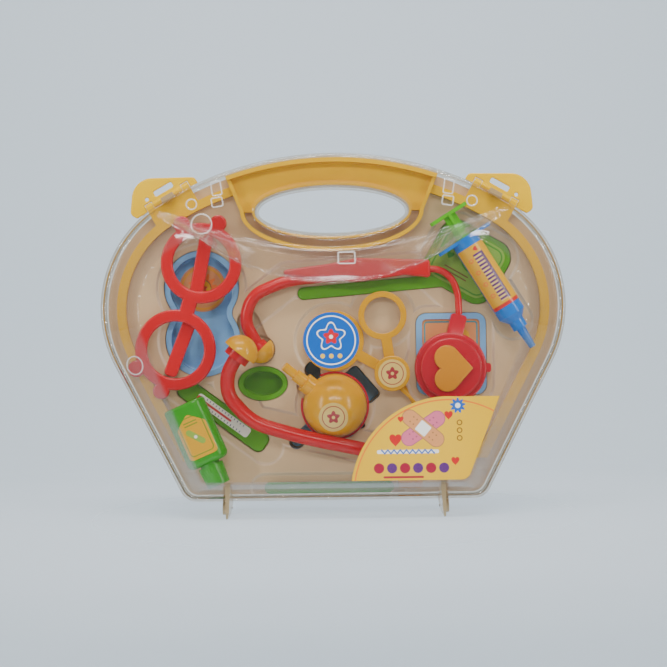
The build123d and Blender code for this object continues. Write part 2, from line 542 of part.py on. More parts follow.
ROUND_STICKER, ROUND_STICKER_RADIUS = (-1.6, 116.2), 18.1
FAN_START, FAN_MIDDLE, FAN_END = (9.8, -5.0), (27.5, 35.6), (78.4, 54.8)   # arc, above the panel's foot
LABEL_MARGIN = 1.2

TWEEZERS_BACK = SHELL_WALL - HALF_DEPTH + DEEPEST_FLOOR
HAMMER_BACK = TWEEZERS_BACK + TWEEZERS_THICKNESS + LAYER_GAP
BULB_DEPTH = HAMMER_BACK + HAMMER_THICKNESS + 2 * LAYER_GAP + BULB_RADIUS


def toward(turn):
    """Unit direction in the plane of the case, from its angle in degrees."""
    return Vector(cos(radians(turn)), sin(radians(turn)))


def cup(outline, front, depth, wall, brim, brim_thickness, floor_round):
    """Open dish with a rounded floor and a flat brim; the outline takes an inset."""
    back = front - depth
    bowl = slab(outline(brim), back, front)
    bowl = fillet(back_edges(bowl), floor_round)
    room = slab(outline(brim + wall), back + wall, front)
    room = fillet(back_edges(room), floor_round / 2)
    return bowl + slab(outline(0), front - brim_thickness, front) - room


def glasses_front():
    """Two round lens rings with a bridge and brow knobs."""
    outline = bar(LENS_UPPER, LENS_LOWER, BRIDGE_WIDTH)
    for centre, knobs in ((Vector(*LENS_UPPER), KNOBS_UPPER), (Vector(*LENS_LOWER), KNOBS_LOWER)):
        outline += Pos(centre.X, centre.Y) * Circle(LENS_OUTER)
        for knob in (centre + toward(turn) * (LENS_OUTER + KNOB_OUT) for turn in knobs):
            outline += Pos(knob.X, knob.Y) * Circle(KNOB_RADIUS)
    outline -= Pos(*LENS_UPPER) * Circle(LENS_INNER) + Pos(*LENS_LOWER) * Circle(LENS_INNER)
    return soft_slab(outline, FRAME_FRONT, FRAME_FRONT + GLASSES_THICKNESS, GLASSES_ROUND)


def glasses_temple(start, end):
    """Folded side arm behind the lenses."""
    return soft_slab(bar(start, end, TEMPLE_WIDTH, TEMPLE_CORNER), TRAY_FACE, FRAME_FRONT, TEMPLE_ROUND)


def dish_outline(inset=0.0):
    """Waisted kidney outline: two round ends that run into each other over a small hollow on each side."""
    upper, lower = Vector(*DISH_UPPER), Vector(*DISH_LOWER)
    end_radius, hollow_radius = DISH_RADIUS - inset, DISH_WAIST_ROUND + inset
    hollow = circle_meeting(lower, DISH_RADIUS + DISH_WAIST_ROUND, upper, DISH_RADIUS + DISH_WAIST_ROUND)
    hollows = (hollow, upper + lower - hollow)
    touches = [[end + (centre - end).normalized() * end_radius for centre in hollows]
               for end in (upper, lower)]
    axis = (upper - lower).normalized() * end_radius
    edges = [ThreePointArc(touches[0][0], upper + axis, touches[0][1]),
             ThreePointArc(touches[1][0], lower - axis, touches[1][1])]
    edges += [arc_on(centre, hollow_radius, touches[0][side], touches[1][side])
              for side, centre in enumerate(hollows)]
    return make_face(edges)


def kidney_dish():
    return cup(dish_outline, DISH_FRONT, DISH_DEPTH, DISH_WALL, DISH_BRIM, DISH_BRIM_THICKNESS,
               DISH_FLOOR_ROUND)


def dish_label():
    """Round sticker on the floor of the kidney dish."""
    floor = DISH_FRONT - DISH_DEPTH + DISH_WALL
    return disc(DISH_UPPER, DISH_LABEL_RADIUS, floor, floor + PAPER)


def flange_on(tip, turn, radius, length):
    """Broad end of a spring, behind the flat face of its ear tip."""
    return frame_on(tip[:2], toward(turn), tip[2]) * pipe(radius, -length, 0)


def headset_band():
    """Upper band of the stethoscope with its spring and the stiff tube to the chest piece."""
    end = Vector(*EARTIP_UPPER) - toward(EARTIP_UPPER_TURN) * SPRING_FLANGE_LENGTH / 2
    spring = rod([*SPRING_PATH, tuple(end)], SPRING_RADIUS)
    blade = polygon(*BAND_UPPER_EDGE, *BAND_LOWER_EDGE)
    blade = soft_slab(fillet(blade.vertices(), BAND_CORNER), TRAY_FACE, -TRAY_FACE, BAND_ROUND)
    tube = rod([*TUBE_PATH, (*TUBE_SOCKET, 0.0)], TUBE_RADIUS)
    return blade + spring + tube + flange_on(EARTIP_UPPER, EARTIP_UPPER_TURN,
                                             SPRING_FLANGE_RADIUS, SPRING_FLANGE_LENGTH)


def headset_arm():
    """Lower spring arm, which passes in front of the squeeze bulb."""
    run = BULB_DEPTH + ARM_OVER_BULB
    end = Vector(*EARTIP_LOWER) - toward(EARTIP_LOWER_TURN) * (ARM_FLANGE_LENGTH / 2)
    spring = rod([*((x, y, run + depth) for x, y, depth in ARM_PATH), tuple(end)], ARM_RADIUS)
    return spring + flange_on(EARTIP_LOWER, EARTIP_LOWER_TURN, ARM_FLANGE_RADIUS, ARM_FLANGE_LENGTH)


def half_ball(centre, radius, turn):
    """Ear tip with a flat face towards its arm."""
    front_half = Box(3 * radius, 3 * radius, radius, align=(Align.CENTER, Align.CENTER, Align.MIN))
    return frame_on(centre[:2], toward(turn), centre[2]) * (Sphere(radius) & front_half)


def heart_outline(size, turn):
    """Heart of a given half width that points along the turn: two lobes and their tangents."""
    lobe = 0.54 * size
    spread = size - lobe
    depth = 1.12 * size
    reach = hypot(spread, depth)
    edge = atan2(depth, spread) - asin(lobe / reach)
    run = (reach**2 - lobe**2) ** 0.5
    touch = (run * cos(edge), run * sin(edge) - depth)
    half = polygon((0, -depth), touch, (spread, 0), (0, 0)) + Pos(spread, 0) * Circle(lobe)
    return Rot(0, 0, turn + 90) * (half + mirror(half, about=Plane.YZ))


def chest_piece():
    """Round bell with a stepped rim, a collar for the tube and a small nub."""
    step, front = TRAY_FACE + CHEST_THICKNESS - CHEST_STEP_HEIGHT, TRAY_FACE + CHEST_THICKNESS
    body = disc(CHEST, CHEST_RADIUS, TRAY_FACE, step)
    face = disc(CHEST, CHEST_RADIUS - CHEST_STEP, step, front)
    body = fillet(front_edges(body) + back_edges(body), CHEST_ROUND)
    body += fillet(front_edges(face), CHEST_ROUND)
    collar_foot = (CHEST[0] + COLLAR_OFFSET, CHEST[1] + CHEST_RADIUS - COLLAR_OVERLAP)
    collar = slab(bar(collar_foot, TUBE_SOCKET, COLLAR_WIDTH, BAND_CORNER), -ARM_RADIUS, ARM_RADIUS)
    nub_end = (CHEST[0] + CHEST_RADIUS + NUB_REACH, CHEST[1])
    nub_back = TRAY_FACE + NUB_LIFT
    nub = slab(bar(CHEST, nub_end, NUB_WIDTH, BAND_ROUND), nub_back, nub_back + NUB_WIDTH)
    return body + collar + nub


def tube_bore():
    """Room in the collar for the end of the tube."""
    end = Vector(*TUBE_SOCKET, 0)
    path = [TUBE_PATH[-2], TUBE_PATH[-1], tuple(end)]
    return rod(path, TUBE_RADIUS + SEAT_FIT)


def chest_heart():
    front = TRAY_FACE + CHEST_THICKNESS
    outline = Pos(CHEST[0] + HEART_OFFSET, CHEST[1]) * heart_outline(HEART_SIZE, 0)
    return fillet(front_edges(slab(outline, front, front + HEART_THICKNESS)), HEART_ROUND)


def squeeze_bulb():
    """Squeeze bulb with its stepped nozzle."""
    seat = frame_on(BULB, toward(NOZZLE_TURN), BULB_DEPTH) * Rot(NOZZLE_TILT, 0, 0)
    body = Pos(*BULB, BULB_DEPTH) * Sphere(BULB_RADIUS) + seat * pipe(NOZZLE_TIP_RADIUS, 0, NOZZLE_LENGTH)
    for radius, end in NOZZLE_STEPS:
        body += seat * pipe(radius, 0, BULB_RADIUS + end)
    return body


def bulb_sticker():
    """Round sticker that follows the bulb."""
    skin = Sphere(BULB_RADIUS + PAPER) - Sphere(BULB_RADIUS)
    return (Pos(*BULB, BULB_DEPTH) * skin) & disc(BULB_STICKER, BULB_STICKER_RADIUS, BULB_DEPTH, HALF_DEPTH)


def gauge_ring():
    """Flat collar round the bulb where it sits in the tray."""
    gap = BULB_DEPTH - (TRAY_FACE + GAUGE_THICKNESS)
    hole = (BULB_RADIUS**2 - gap**2) ** 0.5 + MOVING_GAP
    nozzle_end = Vector(*BULB) + toward(NOZZLE_TURN) * NOZZLE_LENGTH
    nozzle_room = bar(BULB, nozzle_end, 2 * (NOZZLE_RADIUS + POCKET_CLEARANCE))
    collar = Pos(*BULB) * (Circle(GAUGE_RADIUS) - Circle(hole)) - nozzle_room
    return slab(collar, TRAY_FACE, TRAY_FACE + GAUGE_THICKNESS)


def scissors_half(loop, loop_radius, blade_side, back):
    """Finger loop, shank and blade in one flat piece, bored for the rivet."""
    pivot, across = Vector(*SCISSORS_PIVOT), toward(BLADE_TURN + 90) * blade_side
    heel = pivot + across * (BLADE_WIDTH / 2)
    tip = pivot + toward(BLADE_TURN) * BLADE_LENGTH - across * BLADE_SLANT
    outline = polygon((pivot.X, pivot.Y), (heel.X, heel.Y), (tip.X, tip.Y))
    outline += bar(SCISSORS_PIVOT, loop, SHANK_WIDTH)
    outline += Pos(*loop) * Circle(loop_radius) + Pos(*SCISSORS_PIVOT) * Circle(HUB_RADIUS)
    outline -= Pos(*loop) * Circle(loop_radius - LOOP_BAND)
    half = soft_slab(outline, back, back + HALF_THICKNESS, HALF_ROUND)
    return half - disc(SCISSORS_PIVOT, RIVET_RADIUS + RUNNING_FIT, back, back + HALF_THICKNESS)


CAP_DISC_BACK = TRAY_FACE + 2 * HALF_THICKNESS + 3 * MOVING_GAP


def rivet():
    """Shaft through both halves, with its broad round cap."""
    shaft = disc(SCISSORS_PIVOT, RIVET_RADIUS, TRAY_FACE, CAP_DISC_BACK)
    cap = disc(SCISSORS_PIVOT, CAP_DISC_RADIUS, CAP_DISC_BACK, CAP_DISC_BACK + CAP_DISC_THICKNESS)
    return shaft + fillet(front_edges(cap), CAP_DISC_ROUND)


def scissors_sticker():
    front = CAP_DISC_BACK + CAP_DISC_THICKNESS
    return disc(SCISSORS_PIVOT, SCISSORS_STICKER_RADIUS, front, front + PAPER)


def on_syringe(shape):
    """Syringe frame: Z along the barrel towards its nose and Y towards the front."""
    return frame_on(SYRINGE_COLLAR, toward(SYRINGE_TURN), SYRINGE_DEPTH) * shape


def tapered(start_radius, end_radius, start, end):
    cone = Cone(start_radius, end_radius, end - start, align=(Align.CENTER, Align.CENTER, Align.MIN))
    return Pos(0, 0, start) * cone


def pipe(radius, start, end):
    return Pos(0, 0, start) * Cylinder(radius, end - start, align=(Align.CENTER, Align.CENTER, Align.MIN))


def syringe_barrel():
    """Open-topped barrel with its flange, shoulder, neck and nozzle."""
    shoulder_end = SYRINGE_BARREL + SYRINGE_SHOULDER
    neck_end = shoulder_end + SYRINGE_NECK
    body = pipe(BARREL_RADIUS, 0, SYRINGE_BARREL)
    body += tapered(BARREL_RADIUS, SYRINGE_NECK_RADIUS, SYRINGE_BARREL, shoulder_end)
    body += pipe(SYRINGE_NECK_RADIUS, shoulder_end, neck_end)
    body += tapered(NOSE_ROOT_RADIUS, NOSE_TIP_RADIUS, neck_end, SYRINGE_NOSE)
    body += extrude(Ellipse(*SYRINGE_FLANGE), SYRINGE_FLANGE_THICKNESS)
    return on_syringe(body - pipe(BARREL_RADIUS - BARREL_WALL, -1, SYRINGE_BARREL - BARREL_WALL))


def syringe_plunger():
    """Thumb plate, cross-ribbed stem and piston."""
    cross = Rectangle(STEM_RIB, STEM_WIDTH) + Rectangle(STEM_WIDTH, STEM_RIB)
    stem = extrude(cross, PLUNGER_OUT + PLUNGER_IN)
    plate = extrude(RectangleRounded(*THUMB_PLATE, THUMB_PLATE_CORNER), THUMB_PLATE_THICKNESS)
    piston = pipe(BARREL_RADIUS - BARREL_WALL - MOVING_GAP, PLUNGER_IN, PLUNGER_IN + PISTON_LENGTH)
    return on_syringe(Pos(0, 0, -PLUNGER_OUT) * (plate + stem) + piston)


def syringe_label():
    """Paper wrapped round the part of the barrel that faces forward."""
    sleeve = pipe(BARREL_RADIUS + PAPER, SCALE_START, SCALE_END) - pipe(BARREL_RADIUS, 0, SYRINGE_BARREL)
    front_part = Pos(0, SCALE_FRONT, 0) * Box(
        4 * BARREL_RADIUS, 2 * BARREL_RADIUS, SYRINGE_BARREL, align=(Align.CENTER, Align.MIN, Align.MIN))
    return on_syringe(sleeve & front_part)


def on_mirror(shape):
    return Pos(*MIRROR_HEAD) * Rot(0, 0, MIRROR_TURN) * shape


def mirror_outline(grow=0.0):
    head = RectangleRounded(MIRROR_SIZE[0] + 2 * grow, MIRROR_SIZE[1] + 2 * grow, MIRROR_CORNER + grow)
    neck = (MIRROR_HEAD[0] - MIRROR_NECK, MIRROR_HEAD[1] - MIRROR_NECK)
    return on_mirror(head) + bar(MIRROR_HANDLE_END, neck, MIRROR_HANDLE_WIDTH, grow=grow)


def mirror_paddle():
    return soft_slab(mirror_outline(), MIRROR_BACK, MIRROR_BACK + MIRROR_THICKNESS, MIRROR_ROUND)


def mirror_label():
    """Printed sheet on the mirror's head."""
    front = MIRROR_BACK + MIRROR_THICKNESS
    size = (side - 2 * MIRROR_BORDER for side in MIRROR_SIZE)
    return slab(on_mirror(RectangleRounded(*size, MIRROR_CORNER - MIRROR_BORDER)), front, front + PAPER)


def card_outline(inset=0.0):
    size = (side - 2 * inset for side in CARD_SIZE)
    return Pos(*CARD_CENTRE) * RectangleRounded(*size, CARD_CORNER - inset)


def on_bottle(shape):
    """Bottle frame: Z towards the cap and Y towards the front."""
    return frame_on(BOTTLE_TOP, toward(BOTTLE_TURN), BOTTLE_MIDDLE) * shape


def bottle_section(grow=0.0):
    return RectangleRounded(BOTTLE_WIDTH + 2 * grow, BOTTLE_DEPTH + 2 * grow, BOTTLE_CORNER + grow)


def medicine_bottle():
    """Flattened bottle with rounded shoulders and a short neck."""
    body = extrude(bottle_section(), BOTTLE_LENGTH)
    body = fillet(front_edges(body), BOTTLE_SHOULDER_ROUND)
    body = fillet(back_edges(body), BOTTLE_BASE_ROUND)
    return on_bottle(body + pipe(CAP_RADIUS - CAP_WALL, BOTTLE_LENGTH - 1, BOTTLE_LENGTH + CAP_SOCKET))


def bottle_cap():
    """Fluted screw cap."""
    start, end = BOTTLE_LENGTH + CAP_GAP, BOTTLE_LENGTH + CAP_GAP + CAP_LENGTH
    cap = tapered(CAP_RADIUS, CAP_RADIUS - CAP_TAPER, start, end)
    flute = Pos(CAP_RADIUS + FLUTE_RADIUS - FLUTE_SINK, 0, 0) * pipe(FLUTE_RADIUS, start + CAP_GAP, end + 1)
    for number in range(FLUTES):
        cap -= Rot(0, 0, number * 360 / FLUTES) * flute
    return on_bottle(cap - pipe(CAP_RADIUS - CAP_WALL + SEAT_FIT, start - 1, BOTTLE_LENGTH + CAP_SOCKET))


def bottle_label():
    """Shield-shaped sticker that wraps the bottle's front."""
    half, top = SHIELD_SIZE[0] / 2, SHIELD_SIZE[1] / 2
    eaves = top - SHIELD_POINT
    shield = polygon((-half, -top), (half, -top), (half, eaves), (0, top), (-half, eaves))
    shield = fillet(shield.vertices(), SHIELD_CORNER)
    seat = Plane(origin=(0, 0, SHIELD_MIDDLE), x_dir=(1, 0, 0), z_dir=(0, 1, 0))
    skin = extrude(bottle_section(PAPER) - bottle_section(), BOTTLE_LENGTH)
    return on_bottle(skin & extrude(seat * shield, BOTTLE_DEPTH))


def thermometer():
    back = TRAY_FACE - THERMOMETER_SINK
    outline = bar(*THERMOMETER, THERMOMETER_WIDTH, THERMOMETER_CORNER)
    return soft_slab(outline, back, back + THERMOMETER_THICKNESS, THERMOMETER_ROUND)


def thermometer_label():
    """Narrow scale strip along the thermometer."""
    start, end = Vector(*THERMOMETER[0]), Vector(*THERMOMETER[1])
    inset = (end - start).normalized() * SCALE_STRIP_INSET
    strip = bar(tuple(start + inset)[:2], tuple(end - inset)[:2], SCALE_STRIP_WIDTH, BAND_CORNER)
    front = TRAY_FACE - THERMOMETER_SINK + THERMOMETER_THICKNESS
    return slab(strip, front, front + PAPER)


def oval_outline(inset=0.0):
    return Pos(*OVAL_DISH) * Ellipse(OVAL_SIZE[0] - inset, OVAL_SIZE[1] - inset)


def oval_dish():
    return cup(oval_outline, TRAY_FACE - OVAL_SINK, OVAL_DEPTH, OVAL_WALL, OVAL_BRIM, OVAL_BRIM_THICKNESS,
               OVAL_FLOOR_ROUND)


def hammer_outline(grow=0.0):
    """Straight handle with a cross head."""
    end = Vector(*HAMMER[1])
    across = (end - Vector(*HAMMER[0])).normalized().rotate(Axis.Z, 90) * (HAMMER_HEAD[0] / 2)
    head = bar(tuple(end - across)[:2], tuple(end + across)[:2], HAMMER_HEAD[1], HAMMER_HEAD_CORNER, grow)
    return bar(*HAMMER, HAMMER_WIDTH, grow=grow) + head


def reflex_hammer():
    return soft_slab(hammer_outline(), HAMMER_BACK, HAMMER_BACK + HAMMER_THICKNESS, HAMMER_ROUND)


def tweezers_outline(grow=0.0):
    """Two legs that spread from a round heel."""
    heel, end = Vector(*TWEEZERS[0]), Vector(*TWEEZERS[1])
    across = (end - heel).normalized().rotate(Axis.Z, 90) * TWEEZERS_SPREAD
    outline = Pos(heel.X, heel.Y) * Circle(TWEEZERS_HEEL_RADIUS + grow)
    for tip in (end + across, end - across):
        outline += bar(TWEEZERS[0], tuple(tip)[:2], TWEEZERS_WIDTH, grow=grow)
    return outline


def tweezers():
    return soft_slab(tweezers_outline(), TWEEZERS_BACK, TWEEZERS_BACK + TWEEZERS_THICKNESS, TWEEZERS_ROUND)


def spatula():
    return soft_slab(bar(*SPATULA, SPATULA_WIDTH), TRAY_FACE, TRAY_FACE + SPATULA_THICKNESS, SPATULA_ROUND)


def pill_box():
    width, height, depth = PILL_SIZE
    outline = Pos(*PILL_BOX) * RectangleRounded(width, height, PILL_CORNER)
    return soft_slab(outline, TRAY_FACE, TRAY_FACE + depth, PILL_ROUND)


def fan_label():
    """Corner label bounded by the panel's edge, an arc and a level top."""
    start, middle, end = (Vector(x, PANEL_BASE + lift) for x, lift in (FAN_START, FAN_MIDDLE, FAN_END))
    corners = (end, Vector(RIGHT, end.Y), Vector(RIGHT, start.Y), start)
    straight = [Line(a, b) for a, b in zip(corners, corners[1:])]
    outline = make_face([ThreePointArc(start, middle, end), *straight])
    return slab(outline & panel_outline(LABEL_MARGIN), HALF_DEPTH, HALF_DEPTH + PAPER)


# --- Tray -----------------------------------------------------------------------------------------
def pockets(grow):
    """Grown outline and floor depth of everything that lies below the tray's face."""
    nozzle_root = Vector(*BULB) + toward(NOZZLE_TURN) * NOZZLE_POCKET_LENGTH
    return [
        (dish_outline(-grow), DISH_FRONT - DISH_DEPTH),
        (Pos(*EARTIP_UPPER[:2]) * Circle(EARTIP_UPPER_RADIUS + grow),
         EARTIP_UPPER[2] - EARTIP_UPPER_RADIUS),
        (bar(SPRING_POCKET_START, EARTIP_UPPER[:2], SPRING_POCKET_WIDTH, grow=grow),
         EARTIP_UPPER[2] - SPRING_FLANGE_RADIUS),
        (Pos(*BULB) * Circle(BULB_RADIUS + grow), BULB_DEPTH - BULB_RADIUS),
        (bar(BULB, tuple(nozzle_root)[:2], 2 * NOZZLE_RADIUS, grow=grow), BULB_DEPTH - NOZZLE_SINK),
        (mirror_outline(grow), MIRROR_BACK),
        (card_outline(-grow), TRAY_FACE - CARD_THICKNESS),
        (bar(*THERMOMETER, THERMOMETER_WIDTH, THERMOMETER_CORNER, grow), TRAY_FACE - THERMOMETER_SINK),
        (oval_outline(-grow), TRAY_FACE - OVAL_SINK - OVAL_DEPTH),
        (hammer_outline(grow), HAMMER_BACK),
        (tweezers_outline(grow), TWEEZERS_BACK),
        (bar(SYRINGE_COLLAR, SYRINGE_POCKET_END, SYRINGE_POCKET_WIDTH, SYRINGE_POCKET_CORNER, grow),
         SYRINGE_DEPTH - BARREL_RADIUS),
    ]


def blister_tray():
    """Thin formed sheet with a skirt along the rim and one pocket for each piece that lies low."""
    inset = RIM_ROUND + TRAY_GAP
    outline = case_outline(inset) - hand_hole(SHELL_WALL + FRAME_CLEARANCE)
    skirt = case_outline(inset) - case_outline(inset + TRAY_WALL)
    tray = slab(outline, TRAY_FACE - TRAY_WALL, TRAY_FACE) + slab(skirt, SHELL_WALL - RIM_DEPTH, TRAY_FACE)
    for outline, floor in pockets(POCKET_CLEARANCE + TRAY_WALL):
        tray += slab(outline, floor - TRAY_WALL, TRAY_FACE)
    for outline, floor in pockets(POCKET_CLEARANCE):
        tray -= slab(outline, floor, TRAY_FACE + 1)
    return tray


def pieces():
    """Every piece of the case by name."""
    card_back = TRAY_FACE - CARD_THICKNESS
    right_half_back = TRAY_FACE + HALF_THICKNESS + MOVING_GAP
    return {
        "front_shell": front_shell(),
        "rear_shell": rear_shell(),
        "yellow_frame": yellow_frame(),
        "latch_right": latch(),
        "latch_left": mirrored(latch()),
        "latch_pin_right": latch_pin(),
        "latch_pin_left": mirrored(latch_pin()),
        "hinge_pin_right": hinge_pin(),
        "hinge_pin_left": mirrored(hinge_pin()),
        "round_sticker": disc(ROUND_STICKER, ROUND_STICKER_RADIUS, HALF_DEPTH, HALF_DEPTH + PAPER),
        "fan_label": fan_label(),
        "blister_tray": blister_tray(),
        "glasses_front": glasses_front(),
        "glasses_temple_upper": glasses_temple(*TEMPLE_UPPER),
        "glasses_temple_lower": glasses_temple(*TEMPLE_LOWER),
        "kidney_dish": kidney_dish(),
        "dish_label": dish_label(),
        "headset_band": headset_band(),
        "headset_arm": headset_arm(),
        "ear_tip_lower": half_ball(EARTIP_LOWER, EARTIP_LOWER_RADIUS, EARTIP_LOWER_TURN),
        "ear_tip_upper": half_ball(EARTIP_UPPER, EARTIP_UPPER_RADIUS, EARTIP_UPPER_TURN),
        "chest_piece": chest_piece() - tube_bore(),
        "chest_heart": chest_heart(),
        "squeeze_bulb": squeeze_bulb(),
        "bulb_sticker": bulb_sticker(),
        "gauge_ring": gauge_ring(),
        "scissors_left": scissors_half(LOOP_LEFT, LOOP_LEFT_RADIUS, 1, TRAY_FACE),
        "scissors_right": scissors_half(LOOP_RIGHT, LOOP_RIGHT_RADIUS, -1, right_half_back),
        "scissors_rivet": rivet(),
        "scissors_sticker": scissors_sticker(),
        "syringe_barrel": syringe_barrel(),
        "syringe_plunger": syringe_plunger(),
        "syringe_label": syringe_label(),
        "mirror_paddle": mirror_paddle(),
        "mirror_label": mirror_label(),
        "card_frame": slab(card_outline() - card_outline(CARD_BORDER), card_back, TRAY_FACE),
        "card_picture": slab(card_outline(CARD_BORDER), card_back, card_back + PICTURE_THICKNESS),
        "medicine_bottle": medicine_bottle(),
        "bottle_cap": bottle_cap(),
        "bottle_label": bottle_label(),
        "thermometer": thermometer(),
        "thermometer_label": thermometer_label(),
        "oval_dish": oval_dish(),
        "reflex_hammer": reflex_hammer(),
        "tweezers": tweezers(),
        "spatula": spatula(),
        "pill_box": pill_box(),
    }


os.makedirs("parts", exist_ok=True)
for name, shape in pieces().items():
    export_step(Plane.XZ * shape, f"parts/{name}.step")
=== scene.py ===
"""Looks of a toy doctor case: clear half shells, a yellow carrying frame and a tray of play
instruments.

Sizes in the working functions are millimetres: X across the case, Z up, and a depth that grows
towards the front. The row frame's Y is that depth turned round, and metres are made in one place.
"""

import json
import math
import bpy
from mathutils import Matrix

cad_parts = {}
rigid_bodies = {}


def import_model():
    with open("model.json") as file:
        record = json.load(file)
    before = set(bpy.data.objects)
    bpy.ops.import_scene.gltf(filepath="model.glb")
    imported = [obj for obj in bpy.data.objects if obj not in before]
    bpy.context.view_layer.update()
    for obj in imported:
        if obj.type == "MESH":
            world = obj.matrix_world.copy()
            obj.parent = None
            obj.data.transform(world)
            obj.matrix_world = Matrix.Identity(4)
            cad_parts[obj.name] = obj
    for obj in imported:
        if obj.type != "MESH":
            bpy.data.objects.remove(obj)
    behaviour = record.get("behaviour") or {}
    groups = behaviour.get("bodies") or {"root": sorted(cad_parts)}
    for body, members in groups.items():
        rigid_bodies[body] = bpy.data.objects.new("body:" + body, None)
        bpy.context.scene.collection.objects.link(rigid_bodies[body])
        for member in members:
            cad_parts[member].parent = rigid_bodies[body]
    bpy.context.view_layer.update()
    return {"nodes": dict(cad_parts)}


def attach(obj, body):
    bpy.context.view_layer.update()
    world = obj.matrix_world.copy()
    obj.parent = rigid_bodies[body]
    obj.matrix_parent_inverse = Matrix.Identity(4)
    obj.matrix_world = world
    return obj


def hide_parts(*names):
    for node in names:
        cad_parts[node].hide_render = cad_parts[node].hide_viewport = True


bl_info = {
    "name": "Toy doctor case",
    "version": (1, 0, 0),
    "blender": (4, 5, 0),
    "location": "View3D > Sidebar > Doctor case",
    "description": "Builds a clear toy doctor case with its instruments, stickers and studio",
    "category": "Add Mesh",
}

from functools import reduce

import bmesh
import bpy
import numpy as np
from mathutils import Quaternion, Vector

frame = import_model()
NODES = frame["nodes"]

MM = 0.001


# --- Shader maths ---
class Value:
    """A socket of a finish, so that shader maths is written as plain expressions."""

    def __init__(self, finish, socket):
        self.finish, self.socket = finish, socket

    def math(self, operation, *others):
        inputs = dict(enumerate((self, *others)))
        return self.finish.node("ShaderNodeMath", {"operation": operation}, inputs)

    def reflected(self, operation, other):
        return self.finish.node("ShaderNodeMath", {"operation": operation}, {0: other, 1: self})

    def __add__(self, other):
        return self.math("ADD", other)

    __radd__ = __add__

    def __sub__(self, other):
        return self.math("SUBTRACT", other)

    def __rsub__(self, other):
        return self.reflected("SUBTRACT", other)

    def __mul__(self, other):
        return self.math("MULTIPLY", other)

    __rmul__ = __mul__

    def __truediv__(self, other):
        return self.math("DIVIDE", other)

    def __pow__(self, other):
        return self.math("POWER", other)

    def __abs__(self):
        return self.math("ABSOLUTE")

    def root(self):
        return self.math("SQRT")

    def least(self, other):
        return self.math("MINIMUM", other)

    def most(self, other):
        return self.math("MAXIMUM", other)

    def wrapped(self, period):
        """Remainder that stays positive: a number that repeats every period."""
        return self.math("FLOORED_MODULO", period)

    def sine(self):
        return self.math("SINE")

    def angle_to(self, up):
        """Angle of the direction whose parts across and up are this number and another."""
        return self.reflected("ARCTAN2", up)

    def step(self, edge, soft):
        """1 below the edge and 0 above it, with a soft border."""
        return self.finish.node("ShaderNodeMapRange", {"interpolation_type": "SMOOTHSTEP"}, {
            "Value": self, "From Min": edge + soft, "From Max": edge - soft})


class Finish:
    """A material that is built one node at a time."""

    def __init__(self, name):
        self.material = bpy.data.materials.new(name)
        self.material.use_nodes = True
        self.tree = self.material.node_tree
        self.tree.nodes.clear()

    def node(self, kind, settings=None, inputs=None, output=0):
        """Adds a node: its settings first, then the values or links of its sockets."""
        made = self.tree.nodes.new(kind)
        for key, setting in (settings or {}).items():
            setattr(made, key, setting)
        for key, value in (inputs or {}).items():
            if isinstance(value, Value):
                self.tree.links.new(value.socket, made.inputs[key])
            else:
                made.inputs[key].default_value = value
        return Value(self, made.outputs[output])

    def place(self, centre=(0, 0, 0), turn=(0, 0, 0), scale=(1, 1, 1)):
        """Object coordinates about a centre in metres, turned and then scaled."""
        spot = self.node("ShaderNodeTexCoord", output="Object")
        return self.node("ShaderNodeMapping", {"vector_type": "TEXTURE"}, {
            "Vector": spot, "Location": centre, "Rotation": turn, "Scale": scale})

    def parts(self, vector):
        """The three numbers of a vector."""
        x = self.node("ShaderNodeSeparateXYZ", inputs={"Vector": vector})
        outputs = x.socket.node.outputs
        return [Value(self, outputs[axis]) for axis in "XYZ"]

    def noise(self, vector, scale, detail=2.0, rough=0.5):
        return self.node("ShaderNodeTexNoise", inputs={
            "Vector": vector, "Scale": scale, "Detail": detail, "Roughness": rough}, output="Fac")

    def mix(self, factor, low, high):
        """Colour between two colours."""
        return self.node("ShaderNodeMix", {"data_type": "RGBA"}, {0: factor, 6: low, 7: high}, output=2)

    def bump(self, height, distance, strength=1.0):
        return self.node("ShaderNodeBump", inputs={
            "Height": height, "Distance": distance, "Strength": strength})

    def facing(self, **sockets):
        """0 where the surface faces the eye and 1 where it turns away."""
        return self.node("ShaderNodeLayerWeight", inputs={"Blend": 0.5, **sockets}, output="Facing")

    def principled(self, **sockets):
        named = {key.replace("_", " "): value for key, value in sockets.items()}
        return self.node("ShaderNodeBsdfPrincipled", inputs=named)

    def clear(self, colour):
        return self.node("ShaderNodeBsdfTransparent", inputs={"Color": colour})

    def blend(self, share, first, second):
        """Surface that changes from a first to a second with its share."""
        return self.node("ShaderNodeMixShader", inputs={0: share, 1: first, 2: second})

    def shown(self, surface):
        """Ends the finish with its surface and hands back the material."""
        output = self.tree.nodes.new("ShaderNodeOutputMaterial")
        self.tree.links.new(surface.socket, output.inputs["Surface"])
        return self.material


def linear(colour):
    """Scene colour of a screen colour that is given as a hexadecimal word."""
    parts = [int(colour[i:i + 2], 16) / 255 for i in (0, 2, 4)]
    return tuple(p / 12.92 if p <= 0.04045 else ((p + 0.055) / 1.055) ** 2.4 for p in parts) + (1.0,)


def shade(colour, factor=1.0):
    return tuple(part * factor for part in colour[:3]) + (1.0,)


def faded(colour, share):
    """Colour moved towards white by a share."""
    return tuple(part + (1.0 - part) * share for part in colour[:3]) + (1.0,)


